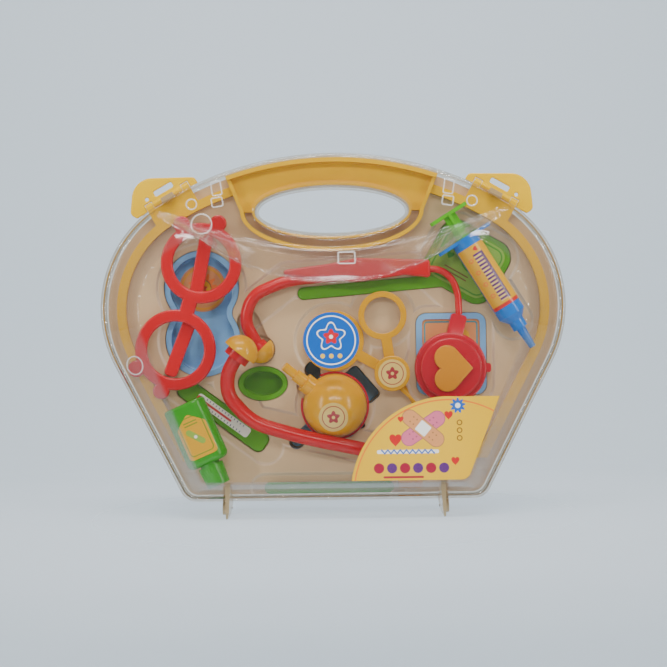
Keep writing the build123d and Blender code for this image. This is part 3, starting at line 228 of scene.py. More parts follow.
# --- Marks ---
class Plan:
    """Distances on a flat print, in millimetres across and up, negative inside a shape."""

    def __init__(self, across, up):
        self.across, self.up = across, up

    def far(self, across, up):
        return (across * across + up * up).root()

    def ball(self, centre, radius):
        return self.far(self.across - centre[0], self.up - centre[1]) - radius

    def stick(self, start, end, half_width):
        """Bar with round ends: distance to the nearest place on the run between two points."""
        run = (end[0] - start[0], end[1] - start[1])
        across, up = self.across - start[0], self.up - start[1]
        share = ((across * run[0] + up * run[1]) / (run[0]**2 + run[1]**2)).most(0.0).least(1.0)
        return self.far(across - share * run[0], up - share * run[1]) - half_width

    def board(self, centre, half_sizes, corner, turn=0.0):
        """Rectangle with rounded corners, turned about its centre."""
        c, s = math.cos(turn), math.sin(turn)
        across, up = self.across - centre[0], self.up - centre[1]
        along = abs(across * c + up * s) - (half_sizes[0] - corner)
        aside = abs(up * c - across * s) - (half_sizes[1] - corner)
        return self.far(along.most(0.0), aside.most(0.0)) + along.most(aside).least(0.0) - corner

    def heart(self, centre, size):
        """Heart from a circle whose height is lifted by the root of the distance to its middle line."""
        across = abs(self.across - centre[0]) / size
        up = (self.up - centre[1]) / size - across.root() * 0.7
        return (self.far(across, up * 1.15) - 1.0) * (0.8 * size)

    def flower(self, centre, radius, petals, depth=0.22):
        """Circle whose radius swells and shrinks with the angle."""
        across, up = self.across - centre[0], self.up - centre[1]
        swell = (across.angle_to(up) * petals).sine() * (depth * radius)
        return self.far(across, up) - radius - swell

    def pulse(self, start, end, level, height, pitch):
        """Zigzag line: distance up and down from a triangle wave between two places across."""
        wave = abs((self.across - start).wrapped(pitch) - pitch / 2) * (4 * height / pitch) - height
        ends = abs(self.across - (start + end) / 2) - (end - start) / 2
        return (abs(self.up - level - wave) * 0.5).most(ends)


def filled(distance, soft=0.18):
    return distance.step(0.0, soft)


def drawn(distance, half_width, soft=0.15):
    return abs(distance).step(half_width, soft)


# --- Finishes ---
def moulded_plastic(name, colour, roughness=0.2, cover=1.0, glow=0.0):
    """Injection-moulded toy plastic: cloudy pigment, faint flow lines, small scuffs and a fine skin.

    A cover below 1 lets what lies behind show through, for the tinted clear pieces.
    """
    finish = Finish(name)
    spot = finish.place()
    cloud = finish.noise(spot, 26.0, 3.0)
    flow = finish.noise(finish.place(scale=(1, 1, 0.18)), 60.0, 2.0)
    scuffs = finish.noise(finish.place(turn=(0.3, 0.2, 0.7), scale=(0.08, 1, 1)), 420.0, 3.0, 0.7)
    skin = finish.noise(spot, 1600.0, 2.0)
    tone = finish.mix((cloud * 0.55 + flow * 0.45) * 0.7, colour, shade(colour, 0.75))
    worn = (scuffs - 0.62).most(0.0) * 1.4
    surface = finish.principled(
        Base_Color=tone, Roughness=roughness + cloud * 0.08 + worn,
        Normal=finish.bump(skin * 0.6 + worn, 0.00012, 0.3),
        Coat_Weight=0.1, Coat_Roughness=0.08, IOR=1.45,
        Subsurface_Weight=glow, Subsurface_Radius=(0.004, 0.003, 0.002))
    if cover < 1.0:
        share = (finish.facing()**2.0 * 0.6 + cover + worn).least(1.0)
        surface = finish.blend(share, finish.clear(faded(colour, 0.45)), surface)
    return finish.shown(surface)


def clear_plastic(name, tint, haze, marks=None):
    """Clear polished sheet: what lies behind shows through, and edges and slopes mirror the room.

    marks: function that gives the share of each place that is covered by the mould's raised marks and by
    painted reflections of a window, which are drawn as the same raised lines.
    """
    finish = Finish(name)
    spot = finish.place()
    waves = finish.noise(spot, 30.0, 2.0)
    skin = finish.noise(spot, 220.0, 2.0)
    scuffs = finish.noise(finish.place(turn=(0.1, 0.9, 0.4), scale=(0.07, 1, 1)), 500.0, 3.0, 0.75)
    worn = (scuffs - 0.66).most(0.0) * 0.5
    height = waves + skin * 0.05
    if marks:
        across, _, up = finish.parts(finish.place(scale=(MM, MM, MM)))
        marks_and_painted_glints = marks(Plan(across, up))
        # Mould marks and painted window reflections are raised in the bump and whitened through the milk
        # veil.
        height, worn = height + marks_and_painted_glints * 0.5, worn + marks_and_painted_glints * 0.42
    ripple = finish.bump(height, 0.0008, 0.3)
    facing = finish.facing(Normal=ripple)
    sheen = facing**4.0 * 0.9 + 0.018
    # worn here also carries the painted window reflections among the marks.
    veil = facing**2.2 * haze + 0.005 + worn
    through = finish.blend(facing**1.5 * 0.8, finish.clear(tint), finish.clear((0.6, 0.5, 0.38, 1)))
    milk = finish.principled(Base_Color=(0.9, 0.88, 0.84, 1), Roughness=0.2, Normal=ripple)
    gloss = finish.principled(Base_Color=(1, 1, 1, 1), Metallic=1.0, Roughness=0.06, Normal=ripple)
    body = finish.blend(veil.least(0.85), through, milk)
    return finish.shown(finish.blend(sheen.least(1.0), body, gloss))


def mould_rings_and_painted_glints(plan):
    """Rings that the mould leaves in the clear front and a square under the hole, as thin raised lines.

    The four squares beside the handle are painted reflections of a window, drawn the same way.
    """
    rings = (((-86.5, 194.1), 6.7), ((-130.7, 101.3), 6.0), ((93.0, 207.4), 3.4), ((-93.0, 207.4), 3.4))
    # The first four squares are painted reflections of a window's panes; the last lies under the hole.
    boards = (
        ((-76.4, 217.8), (3.2, 4.6), 0.15), ((-76.0, 208.6), (3.6, 3.0), 0.15),
        ((77.7, 217.0), (3.2, 4.6), -0.15), ((77.0, 207.8), (3.6, 3.0), -0.15),
        ((9.3, 170.3), (5.5, 4.0), 0.0))
    lines = [plan.ball(centre, radius) for centre, radius in rings]
    lines += [plan.board(centre, sizes, 1.0, turn) for centre, sizes, turn in boards]
    return reduce(Value.most, [drawn(line, 0.35, 0.25) for line in lines])


def formed_sheet(name, colour):
    """Tinted formed sheet: hazy, glossy, and pressed in soft contours round the pockets.

    The pockets and a band round them are darkened as painted shade, and a lighter line along their rims
    is a painted highlight.
    """
    finish = Finish(name)
    spot = finish.place()
    across, _, up = finish.parts(finish.place(scale=(MM, MM, MM)))
    plan = Plan(across, up)
    shapes = [
        plan.ball((0.3, 72.0), 21.4), plan.ball((-88.5, 152.5), 25.0), plan.ball((-88.0, 117.5), 25.0),
        plan.ball((32.9, 132.2), 17.0), plan.ball((-0.1, 115.5), 21.0), plan.ball((78.0, 96.3), 25.0),
        plan.board((90.4, 167.6), (26.0, 23.0), 12.0, math.radians(-30)),
        plan.board((79.1, 105.7), (23.5, 27.5), 7.0),
        plan.stick((-60, 134), (-30, 157), 7.0), plan.stick((-30, 157), (60, 163), 7.0),
        plan.stick((60, 163), (84, 140), 5.0), plan.stick((-71, 88), (-55, 62), 6.0),
        plan.stick((-55, 62), (46, 38), 6.0), plan.stick((87.6, 183), (121, 128), 8.0),
        plan.stick((-103.7, 87.5), (-46.7, 45.1), 7.0), plan.stick((-47.7, 17.3), (39.3, 17.3), 4.0)]
    near = reduce(Value.least, shapes)
    # 1 in the pockets and a 5 mm band round them: it dents the bump and darkens the colour as painted
    # shade.
    step = near.step(5.0, 1.2)
    # Lighter line along the pockets' rims: a painted highlight.
    painted_rim_highlight = drawn(near - 5.0, 0.9, 0.8)
    cloud = finish.noise(spot, 14.0, 3.0)
    skin = finish.noise(spot, 300.0, 2.0)
    tone = finish.mix(cloud * 0.7, colour, shade(colour, 0.8))
    # Painted shade: the pockets are darker.
    tone = finish.mix(step * 0.3, tone, shade(colour, 0.7))
    # Painted highlight along the pockets' rims.
    tone = finish.mix(painted_rim_highlight * 0.3, tone, faded(colour, 0.6))
    dent = finish.bump(skin * 0.05 + cloud * 0.5 - step * 2.2, 0.0007, 0.8)
    sheet = finish.principled(
        Base_Color=tone, Roughness=0.2, Coat_Weight=0.6, Coat_Roughness=0.06, Normal=dent)
    share = (finish.facing(Normal=dent)**2.0 * 0.3 + 0.74 + painted_rim_highlight * 0.1).least(1.0)
    return finish.shown(finish.blend(share, finish.clear(faded(colour, 0.25)), sheet))


def printed_paper(name, ground, artwork, centre=(0.0, 0.0), turn=0.0):
    """Gloss-coated sticker: paper fibre under flat inks, drawn about a centre with a turn in degrees."""
    finish = Finish(name)
    place = finish.place((centre[0] * MM, 0, centre[1] * MM), (0, -math.radians(turn), 0), (MM, MM, MM))
    across, _, up = finish.parts(place)
    fibre = finish.noise(finish.place(scale=(0.4, 1, 1)), 900.0, 3.0, 0.6)
    cloud = finish.noise(finish.place(), 40.0, 2.0)
    tone = finish.mix(fibre * 0.25 + cloud * 0.3, ground, shade(ground, 0.82))
    for mask, ink, *darker in artwork(Plan(across, up)):
        tone = finish.mix(mask * (1.04 - fibre * 0.12), tone, shade(INKS[ink], *darker))
    return finish.shown(finish.principled(
        Base_Color=tone, Roughness=fibre * 0.15 + 0.26, Coat_Weight=0.35, Coat_Roughness=0.12,
        Normal=finish.bump(fibre, 0.00006, 0.35)))


def brushed_steel(name, colour):
    """Drawn wire: fine lines along the pin over bright metal."""
    finish = Finish(name)
    lines = finish.noise(finish.place(scale=(0.05, 1, 1)), 900.0, 3.0, 0.6)
    return finish.shown(finish.principled(
        Base_Color=colour, Metallic=1.0, Roughness=lines * 0.2 + 0.22,
        Normal=finish.bump(lines, 0.00005, 0.4)))


# --- Artwork of the stickers ---
INKS = {name: linear(colour) for name, colour in {
    "white": "F4F0E8", "cream": "E8C870", "yellow": "E0A800", "gold": "E09A10", "orange": "E8701A",
    "red": "C8101C", "crimson": "A01030", "pink": "D86888", "skin": "D89058", "blue": "0058B0",
    "navy": "1A2A70", "purple": "55206E", "green": "3A8A20", "leaf": "88B040", "brown": "7A4A20",
    "teal": "2090A0", "sun": "F0C030", "bead": "F0C040"}.items()}


def heading_arc(start, middle, end):
    """Centre and radius of the circle through three points."""
    (ax, ay), (bx, by), (cx, cy) = start, middle, end
    d = 2 * (ax * (by - cy) + bx * (cy - ay) + cx * (ay - by))
    a2, b2, c2 = ax * ax + ay * ay, bx * bx + by * by, cx * cx + cy * cy
    x = (a2 * (by - cy) + b2 * (cy - ay) + c2 * (ay - by)) / d
    y = (a2 * (cx - bx) + b2 * (ax - cx) + c2 * (bx - ax)) / d
    return (x, y), math.hypot(ax - x, ay - y)


def plaster(plan, centre, turn, ink):
    """Sticking plaster: a round-ended strip with a pad and rows of small holes."""
    reach = (11.0 * math.cos(turn), 11.0 * math.sin(turn))
    start = (centre[0] - reach[0], centre[1] - reach[1])
    end = (centre[0] + reach[0], centre[1] + reach[1])
    strip = plan.stick(start, end, 5.0)
    marks = [(filled(strip), ink), (drawn(strip, 0.25), ink, 0.6),
             (filled(plan.board(centre, (4.0, 3.8), 0.7, turn)), "white")]
    for share in (-0.85, -0.6, 0.6, 0.85):
        for side in (-1.9, 1.9):
            spot = (centre[0] + reach[0] * share - side * math.sin(turn),
                    centre[1] + reach[1] * share + side * math.cos(turn))
            marks.append((filled(plan.ball(spot, 0.5)), ink, 0.5))
    return marks


def fan_art(plan):
    """Border along the arc, two crossed plasters, hearts, a rosette and a row of coloured beads."""
    centre, radius = heading_arc((9.8, 19.0), (27.5, 59.6), (78.4, 78.8))
    edge = plan.ball(centre, radius)
    glow = plan.ball((56.0, 60.0), 0.0) / 46.0
    yield (1.0 - glow).most(0.0) * 0.6, "sun"
    yield drawn(edge + 2.2, 0.45), "orange"
    yield from plaster(plan, (57.0, 58.5), math.radians(34), "pink")
    yield from plaster(plan, (57.0, 58.5), math.radians(-40), "skin")
    for across, up, size in ((39.0, 50.0, 3.9), (73.5, 66.0, 2.7), (77.5, 36.5, 2.6), (42.5, 64.0, 1.9)):
        yield filled(plan.heart((across, up), size)), "red"
    yield filled(plan.flower((79.5, 73.0), 4.2, 9)), "blue"
    yield filled(plan.ball((79.5, 73.0), 1.7)), "white"
    for up in (62.0, 57.0, 52.0):
        yield drawn(plan.ball((80.5, up), 1.5), 0.35), "brown"
    yield filled(plan.board((47.0, 43.6), (20.0, 1.2), 1.0)), "white"
    yield filled(plan.pulse(30.0, 64.0, 43.6, 1.2, 4.0) - 0.35), "blue"
    bead = plan.far((plan.across - 24.0).wrapped(8.4) - 4.2, plan.up - 33.0) - 3.3
    row = filled((abs(plan.across - 49.2) - 25.0).most(bead))
    yield row, "purple"
    yield row * filled((plan.across - 24.0).wrapped(16.8) - 8.4), "crimson"
    yield filled(plan.board((44.0, 27.2), (13.0, 0.7), 0.6)), "crimson"


def disc_art(plan):
    """White rings round a five-petalled flower, over three beads."""
    yield drawn(plan.ball((0, 0), 15.6), 0.4), "white"
    yield drawn(plan.flower((0, 2.2), 7.6, 5), 0.5), "white"
    yield filled(plan.flower((0, 2.2), 4.2, 5)), "red"
    yield filled(plan.ball((0, 2.2), 1.3)), "white"
    for across in (-5.6, 0.0, 5.6):
        yield filled(plan.ball((across, -10.2), 1.5)), "bead"


def seal_art(plan):
    """Ring round a small star."""
    yield drawn(plan.ball((0, 0), 7.3), 0.3), "crimson"
    yield filled(plan.flower((0, 0), 3.6, 5)), "crimson"
    yield filled(plan.ball((0, 0), 1.1)), "cream"


def gauge_art(plan):
    """Graduated strip along the barrel, with beads beside it and a red end."""
    rungs = filled(plan.across.wrapped(2.6) - 1.4, 0.12)
    strip = filled(plan.board((31.0, 1.5), (18.0, 3.6), 0.4))
    yield strip, "purple", 0.7
    yield strip * rungs * filled(plan.up - 3.2), "purple"
    yield strip * (1.0 - rungs) * filled(plan.up - 3.2), "cream"
    for along in (16.0, 25.0, 34.0, 43.0):
        yield drawn(plan.ball((along, -5.0), 1.2), 0.35), "orange"
    yield filled(plan.heart((10.0, 1.0), 1.6)), "red"
    yield filled(50.6 - plan.across), "red"


def shield_art(plan):
    """Border with a leaf-green plaster and two ruled lines."""
    yield drawn(plan.board((0, 0), (12.6, 8.2), 2.4), 0.3), "green"
    yield filled(plan.stick((-3.0, -3.4), (5.0, 3.0), 2.0)), "leaf"
    yield filled(plan.ball((1.0, -0.2), 1.1)), "white"
    for along in (-7.4, -9.4):
        yield filled(plan.board((along, 0), (0.35, 4.6), 0.2)), "green"


def plate_art(plan):
    """Sun with rays in a gold ring."""
    yield drawn(plan.ball((0, 0), 14.0), 0.7), "gold"
    yield filled(plan.flower((0, 0), 8.6, 12)), "orange"
    yield filled(plan.ball((0, 0), 5.6)), "yellow"
    yield drawn(plan.ball((0, 0), 5.6), 0.35), "brown"
    yield filled(plan.flower((0, 0), 2.6, 6)), "red"


def glass_art(plan):
    """Rings, leaves and ruled lines on a pale sheet."""
    yield drawn(plan.board((0, 0), (20.0, 17.0), 6.0), 0.5), "green"
    yield drawn(plan.ball((4.0, 3.0), 8.0), 0.6), "green"
    yield filled(plan.flower((4.0, 3.0), 5.0, 6)), "yellow"
    yield filled(plan.ball((4.0, 3.0), 2.0)), "red"
    for centre in ((-12.0, 8.0), (-12.0, -2.0), (15.0, -9.0)):
        yield filled(plan.heart(centre, 2.4)), "green"
    for up in (-9.0, -11.6):
        yield filled(plan.board((-3.0, up), (9.0, 0.45), 0.3)), "brown"


def card_art(plan):
    """Hills, a sun and a ruled border."""
    hill = (plan.across * 0.28).sine() * 3.4
    yield filled(plan.up + 4.0 - hill), "leaf"
    yield filled(plan.up + 12.0 + hill), "brown"
    yield filled(plan.ball((8.0, 12.0), 4.6)), "yellow"
    yield drawn(plan.board((0, 0), (17.6, 21.6), 2.0), 0.5), "teal"
    for across in (-11.0, -5.0, 1.0):
        yield filled(plan.stick((across, 3.0), (across, 9.0), 1.2)), "brown"


def scale_art(plan):
    """Thermometer scale: a red column between ticks."""
    yield filled(plan.stick((-20.0, 0.0), (6.0, 0.0), 0.8)), "red"
    yield filled(plan.ball((-20.0, 0.0), 2.0)), "red"
    ticks = filled(plan.across.wrapped(2.5) - 0.6, 0.1) * filled(abs(plan.across) - 17.0)
    yield ticks * filled(abs(abs(plan.up) - 2.4) - 0.7, 0.1), "navy"


# --- Surfaces ---
def stood_up(across, up, depth):
    """Places in metres from millimetres across, up and towards the front."""
    return np.stack(np.broadcast_arrays(across * MM, -depth * MM, up * MM), axis=-1)


def grid(points, closed=False):
    """Net of four-sided faces over a (rows, columns, 3) array of places, whose rows may be closed."""
    rows, columns = points.shape[:2]
    start = np.arange(rows - 1)[:, None] * columns
    column = np.arange(columns if closed else columns - 1)[None, :]
    ahead = (column + 1) % columns
    faces = np.stack(np.broadcast_arrays(
        start + column, start + ahead, start + columns + ahead, start + columns + column), axis=-1)
    return points.reshape(-1, 3), faces.reshape(-1, 4)


def both_sides(nets):
    """Nets and the same ones on the other side of the case, with their faces turned to stay outward."""
    flip = np.array([-1.0, 1.0, 1.0])
    return nets + [(points * flip, [list(face)[::-1] for face in faces]) for points, faces in nets]


def shown_mesh(mesh, material, sharp=None):
    """Object of a smooth mesh, with sharp edges from an angle in degrees, in its material."""
    mesh.polygons.foreach_set("use_smooth", [True] * len(mesh.polygons))
    if sharp is not None:
        mesh.set_sharp_from_angle(angle=math.radians(sharp))
    mesh.materials.append(material)
    thing = bpy.data.objects.new(mesh.name, mesh)
    bpy.context.scene.collection.objects.link(thing)
    return thing


def piece(name, surfaces, finish, body, nodes=(), wall=0.0):
    """One object from several nets: merged where they meet, turned outward, and given to its body."""
    starts = np.cumsum([0] + [len(points) for points, _ in surfaces])
    points = np.concatenate([points for points, _ in surfaces])
    faces = [[corner + start for corner in face]
             for start, (_, net) in zip(starts, surfaces) for face in net]
    mesh = bpy.data.meshes.new(name)
    mesh.from_pydata(points.tolist(), [], faces)
    work = bmesh.new()
    work.from_mesh(mesh)
    bmesh.ops.remove_doubles(work, verts=work.verts, dist=2e-6)
    bmesh.ops.dissolve_degenerate(work, edges=work.edges, dist=1e-7)
    bmesh.ops.recalc_face_normals(work, faces=work.faces)
    work.to_mesh(mesh)
    work.free()
    thing = shown_mesh(mesh, finish, sharp=40.0)
    if wall:
        solid = thing.modifiers.new("wall", "SOLIDIFY")
        solid.thickness, solid.offset = wall * MM, -1.0
    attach(thing, body)
    if nodes:
        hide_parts(*nodes)


# --- Outlines of the case ---
SHOULDER, SHOULDER_RADIUS = np.array([72.5, 138.0]), 82.0
CORNER, CORNER_RADIUS = np.array([92.0, 22.0]), 12.0
CROWN_CENTRE, CROWN_RADIUS = np.array([0.0, 20.0488]), 220.4512
RIM_DEPTH, HALF_DEPTH, SEAM, WALL = 11.0, 35.0, 0.15, 1.6
HOLE = np.array([0.0, 202.5])
HOLE_HALF_LENGTH, HOLE_HALF_RISE = 49.2, 14.8
LATCH_LEAN = math.radians(29.6)
LATCH_OUT = np.array([math.sin(LATCH_LEAN), math.cos(LATCH_LEAN)])
LATCH_ALONG = np.array([math.cos(LATCH_LEAN), -math.sin(LATCH_LEAN)])
LATCH_ROOT = CROWN_CENTRE + LATCH_OUT * CROWN_RADIUS
NOTCH_LENGTH, NOTCH_DEPTH = 33.2, 5.3      # room for the latch's pad in the rear rim
PANEL_SHOULDER, PANEL_SHOULDER_RADIUS = np.array([78.1, 136.0]), 48.5
PANEL_CORNER, PANEL_CORNER_RADIUS = np.array([81.0, 32.0]), 8.0
PANEL_MIDDLE = (0.0, 105.0)
SKIRT_INSET = 5.0
EYE_UP, EYE_RADIUS, EAR_THICKNESS, FIN_GROWTH = 4.5, 4.4, 1.2, 2.2
FRONT_EAR, REAR_EAR = 71.9, (72.2, 75.6)   # where the hinge ears of the halves stand across
TOOTH_DEPTHS = (1.5, 4.0)


def arc(centre, radius, start, end, count=90):
    """Points on a circle from one angle to another, in degrees."""
    turn = np.radians(np.linspace(start, end, count))
    return centre + radius * np.stack([np.cos(turn), np.sin(turn)], axis=-1)


def heading(vector):
    return math.degrees(math.atan2(vector[1], vector[0]))


class Outline:
    """Right half of a symmetric outline as a curve by length, from the middle of its base to its top.

    marks: the lengths at which its corner, straight side, shoulder and last two arcs start and end.
    """

    def __init__(self, runs):
        self.points = np.concatenate([[[0.0, runs[0][0][1]]], *runs])
        self.length = np.concatenate([[0.0], np.cumsum(np.hypot(*np.diff(self.points, axis=0).T))])
        ends = np.cumsum([len(run) for run in runs])
        self.marks = [0.0, *self.length[[1, ends[0], ends[0] + 1, *ends[1:]]]]

    def at(self, lengths):
        """Places at these lengths along the curve."""
        return np.stack([np.interp(lengths, self.length, row) for row in self.points.T], axis=-1)

    def length_at_x(self, x):
        """Length at which the top of the curve, on its way back to the middle, passes x."""
        top = self.length >= self.marks[-2]
        return np.interp(-np.asarray(x), -self.points[top, 0], self.length[top])


def lower_side(shoulder, shoulder_radius, corner, corner_radius):
    """Corner arc and the angle at which it leaves for the shoulder along their common tangent."""
    across = shoulder - corner
    turn = math.acos((corner_radius - shoulder_radius) / np.hypot(*across))
    lean = -math.degrees(turn) + heading(across)
    return arc(corner, corner_radius, -90, lean), lean


def case_edge():
    """Whole case: corner, straight side, shoulder and crown.

    The shoulder is cut in two where the compartment's lobe starts, so that the columns match.
    """
    lobe = 51.05
    corner, lean = lower_side(SHOULDER, SHOULDER_RADIUS, CORNER, CORNER_RADIUS)
    join = heading(SHOULDER - CROWN_CENTRE)
    return Outline([corner, arc(SHOULDER, SHOULDER_RADIUS, lean, lobe, 160),
                    arc(SHOULDER, SHOULDER_RADIUS, lobe, join),
                    arc(CROWN_CENTRE, CROWN_RADIUS, join, 90, 200)])


def hollowed_edge(shoulder, shoulder_radius, corner, corner_radius, valley, valley_radius, lobe_radius):
    """Compartment outline: its top dips under the handle between two rounded lobes."""
    corner_run, lean = lower_side(shoulder, shoulder_radius, corner, corner_radius)
    hollow = np.array([0.0, valley + valley_radius])
    across = hollow - shoulder
    apart = np.hypot(*across)
    reach, other = shoulder_radius - lobe_radius, valley_radius + lobe_radius
    along = (reach**2 - other**2 + apart**2) / (2 * apart)
    aside = math.sqrt(reach**2 - along**2)
    unit = across / apart
    lobe = shoulder + unit * along + np.array([unit[1], -unit[0]]) * aside
    rise, fall = heading(lobe - shoulder), heading(hollow - lobe)
    return Outline([corner_run, arc(shoulder, shoulder_radius, lean, rise, 160),
                    arc(lobe, lobe_radius, rise, fall),
                    arc(hollow, valley_radius, heading(lobe - hollow), -90, 200)])


def skirt_edge():
    return hollowed_edge(
        SHOULDER, SHOULDER_RADIUS - SKIRT_INSET, CORNER, CORNER_RADIUS - SKIRT_INSET, 176.0, 262.0, 12.0)


def panel_edge():
    return hollowed_edge(
        PANEL_SHOULDER, PANEL_SHOULDER_RADIUS, PANEL_CORNER, PANEL_CORNER_RADIUS, 154.4, 135.0, 7.0)


def spread(marks, counts):
    """Lengths that divide each span between marks into its count of steps."""
    spans = [np.linspace(a, b, count, endpoint=False) for a, b, count in zip(marks, marks[1:], counts)]
    return np.concatenate([*spans, [marks[-1]]])


def at_depth(places, depth):
    """Places of an outline with a depth added, as (across, up, depth)."""
    return np.column_stack([places, np.broadcast_to(depth, len(places)).astype(float)])


def softened(folds, cuts, flats):
    """Rows along a folded strip whose inner folds are rounded by quadratic curves.

    folds: one array of places for each fold line. cuts: for each inner fold, how far before and after
    it its curve starts and ends, or None for a fold that is only passed. flats: rows of each flat.
    """
    rows, start = [], folds[0]
    share = np.linspace(0, 1, 8)[1:-1, None, None]
    for index, cut in enumerate(cuts):
        fold, back, ahead = folds[index + 1], folds[index], folds[index + 2]
        if cut is None:
            enter = leave = fold
        else:
            enter = fold + (back - fold) / np.linalg.norm(back - fold, axis=-1, keepdims=True) * cut[0]
            leave = fold + (ahead - fold) / np.linalg.norm(ahead - fold, axis=-1, keepdims=True) * cut[1]
        rows.append(start + (enter - start) * np.linspace(0, 1, flats[index])[:, None, None])
        if cut is not None:
            rows.append((1 - share) ** 2 * enter + 2 * share * (1 - share) * fold + share**2 * leave)
        start = leave
    rows.append(start + (folds[-1] - start) * np.linspace(0, 1, flats[-1])[:, None, None])
    return np.concatenate(rows)


def stand(rows, side):
    """Net of (across, up, depth) rows, on the front side or on the rear."""
    return grid(stood_up(rows[..., 0], rows[..., 1], side * rows[..., 2]))


def half_shell(side):
    """Right half of one clear half, as nets.

    Each column is a folded strip that starts at the seam, runs along the rim, inward over the flange,
    up the slope and in to the middle of the panel. Its folds lie on the case's outline, the
    compartment's outline and the panel's outline, and are rounded. Over and under the hand hole the
    flange is two strips whose columns stand at x = a cos t, and the hole's lip turns from the flange
    back to the seam as a quarter ellipse.
    """
    lip, counts = 6.0, (12, 10, 26, 42, 16, 14)
    a, b = HOLE_HALF_LENGTH + lip, HOLE_HALF_RISE + lip
    case, skirt, panel = case_edge(), skirt_edge(), panel_edge()
    beside = skirt.length_at_x(a)
    share = (beside - skirt.marks[5]) / (skirt.marks[6] - skirt.marks[5])
    panel_beside = panel.marks[5] + share * (panel.marks[6] - panel.marks[5])
    case_beside = case.length_at_x(a)
    turn = np.linspace(0, math.pi / 2, 30)
    over = a * np.cos(turn)
    over_skirt = skirt.length_at_x(over)
    over_share = (over_skirt - beside) / (skirt.marks[6] - beside)

    def folds(on_case, on_skirt, on_panel):
        seam = np.full(len(on_case), SEAM)
        if side < 0:
            along = (on_case - LATCH_ROOT) @ LATCH_ALONG
            seam[(np.abs(along) < NOTCH_LENGTH / 2) & (on_case[:, 1] > SHOULDER[1])] = NOTCH_DEPTH
        middle = np.broadcast_to(PANEL_MIDDLE, on_panel.shape)
        return (at_depth(on_case, seam), at_depth(on_case, RIM_DEPTH), at_depth(on_skirt, RIM_DEPTH),
                at_depth(on_panel, HALF_DEPTH), at_depth(middle, HALF_DEPTH))

    half_way = (case.marks[4] + case_beside) / 2
    seam, rim, foot, edge, middle = folds(
        case.at(spread([*case.marks[:5], half_way, case_beside], counts)),
        skirt.at(spread([*skirt.marks[:6], beside], counts)),
        panel.at(spread([*panel.marks[:6], panel_beside], counts)))
    split = (rim[-1, 1] - HOLE[1]) / (rim[-1, 1] - foot[-1, 1])
    rim_cut, foot_cut, edge_cut = (3.0, 3.0), (3.0, 9.0), (2.2, 2.2)
    nets = [softened([seam, rim, rim + (foot - rim) * split, foot, edge, middle],
                     [rim_cut, None, foot_cut, edge_cut], [5, 4, 4, 6, 12])]
    seam, rim, foot, edge, middle = folds(
        case.at(case.length_at_x(over)), skirt.at(over_skirt),
        panel.at(panel_beside + over_share * (panel.marks[6] - panel_beside)))
    hole_up = at_depth(HOLE + np.stack([over, b * np.sin(turn)], axis=-1), RIM_DEPTH)
    hole_down = at_depth(HOLE + np.stack([over, -b * np.sin(turn)], axis=-1), RIM_DEPTH)
    nets.append(softened([seam, rim, hole_up], [rim_cut], [5, 4]))
    nets.append(softened([hole_down, foot, edge, middle], [foot_cut, edge_cut], [4, 6, 12]))
    around = np.concatenate([-turn[::-1], turn[1:]])[None, :]
    roll = np.linspace(0, math.pi / 2, 10)[:, None]
    growth = np.concatenate([lip * (1 - np.sin(roll)), [[0.0]]])
    depth = np.concatenate([RIM_DEPTH - lip * (1 - np.cos(roll)), [[SEAM]]])
    nets.append(np.stack(np.broadcast_arrays(
        HOLE[0] + (HOLE_HALF_LENGTH + growth) * np.cos(around),
        HOLE[1] + (HOLE_HALF_RISE + growth) * np.sin(around), depth), axis=-1))
    return [stand(net, side) for net in nets]


def prism(outline, near, far):
    """Closed net of a flat outline of (up, depth) between two places across.

    near, far: one number for all of the outline, or one for each of its corners.
    """
    across = np.stack(np.broadcast_arrays(near, far, outline[:, 0])[:2])
    sides, faces = grid(stood_up(across, outline[None, :, 0], outline[None, :, 1]), closed=True)
    count = len(outline)
    ends = [list(range(count)), list(range(2 * count - 1, count - 1, -1))]
    return sides, faces.tolist() + ends


def foot(side):
    """Foot and hinge ear of one half: a tapering fin with a round eye at the hinge."""
    turn = np.radians(np.linspace(0, -180, 14))
    eye = np.stack([EYE_UP + EYE_RADIUS * np.cos(turn), EYE_RADIUS * np.sin(turn)], axis=-1)
    outline = np.concatenate([eye, [(0, 0), (0, 23.5), (4.5, 28), (24, 28), (15, 11), (11.6, 0)]])
    rise = np.clip(outline[:, 0] / 10, 0, 1)
    near, far = (FRONT_EAR - EAR_THICKNESS - FIN_GROWTH * rise, FRONT_EAR) if side > 0 else REAR_EAR
    return prism(outline * np.array([1.0, side]), near, far)


def catch_tooth():
    """Tooth on the front rim, under the latch's slot."""
    corners = [(along, out, depth) for depth in TOOTH_DEPTHS for along, out in (
        (-5, -0.6), (5, -0.6), (4.4, 3.2), (-4.4, 3.2))]
    places = np.array([(*(LATCH_ROOT + LATCH_ALONG * a + LATCH_OUT * o), d) for a, o, d in corners])
    faces = [[0, 3, 2, 1], [4, 5, 6, 7], [0, 1, 5, 4], [1, 2, 6, 5], [2, 3, 7, 6], [3, 0, 4, 7]]
    return stood_up(places[:, 0], places[:, 1], places[:, 2]), faces


# --- Colours ---
def colour_property(name, description, colour):
    return bpy.props.FloatVectorProperty(
        name=name, description=description, subtype="COLOR", size=4, min=0.0, max=1.0,
        default=linear(colour))


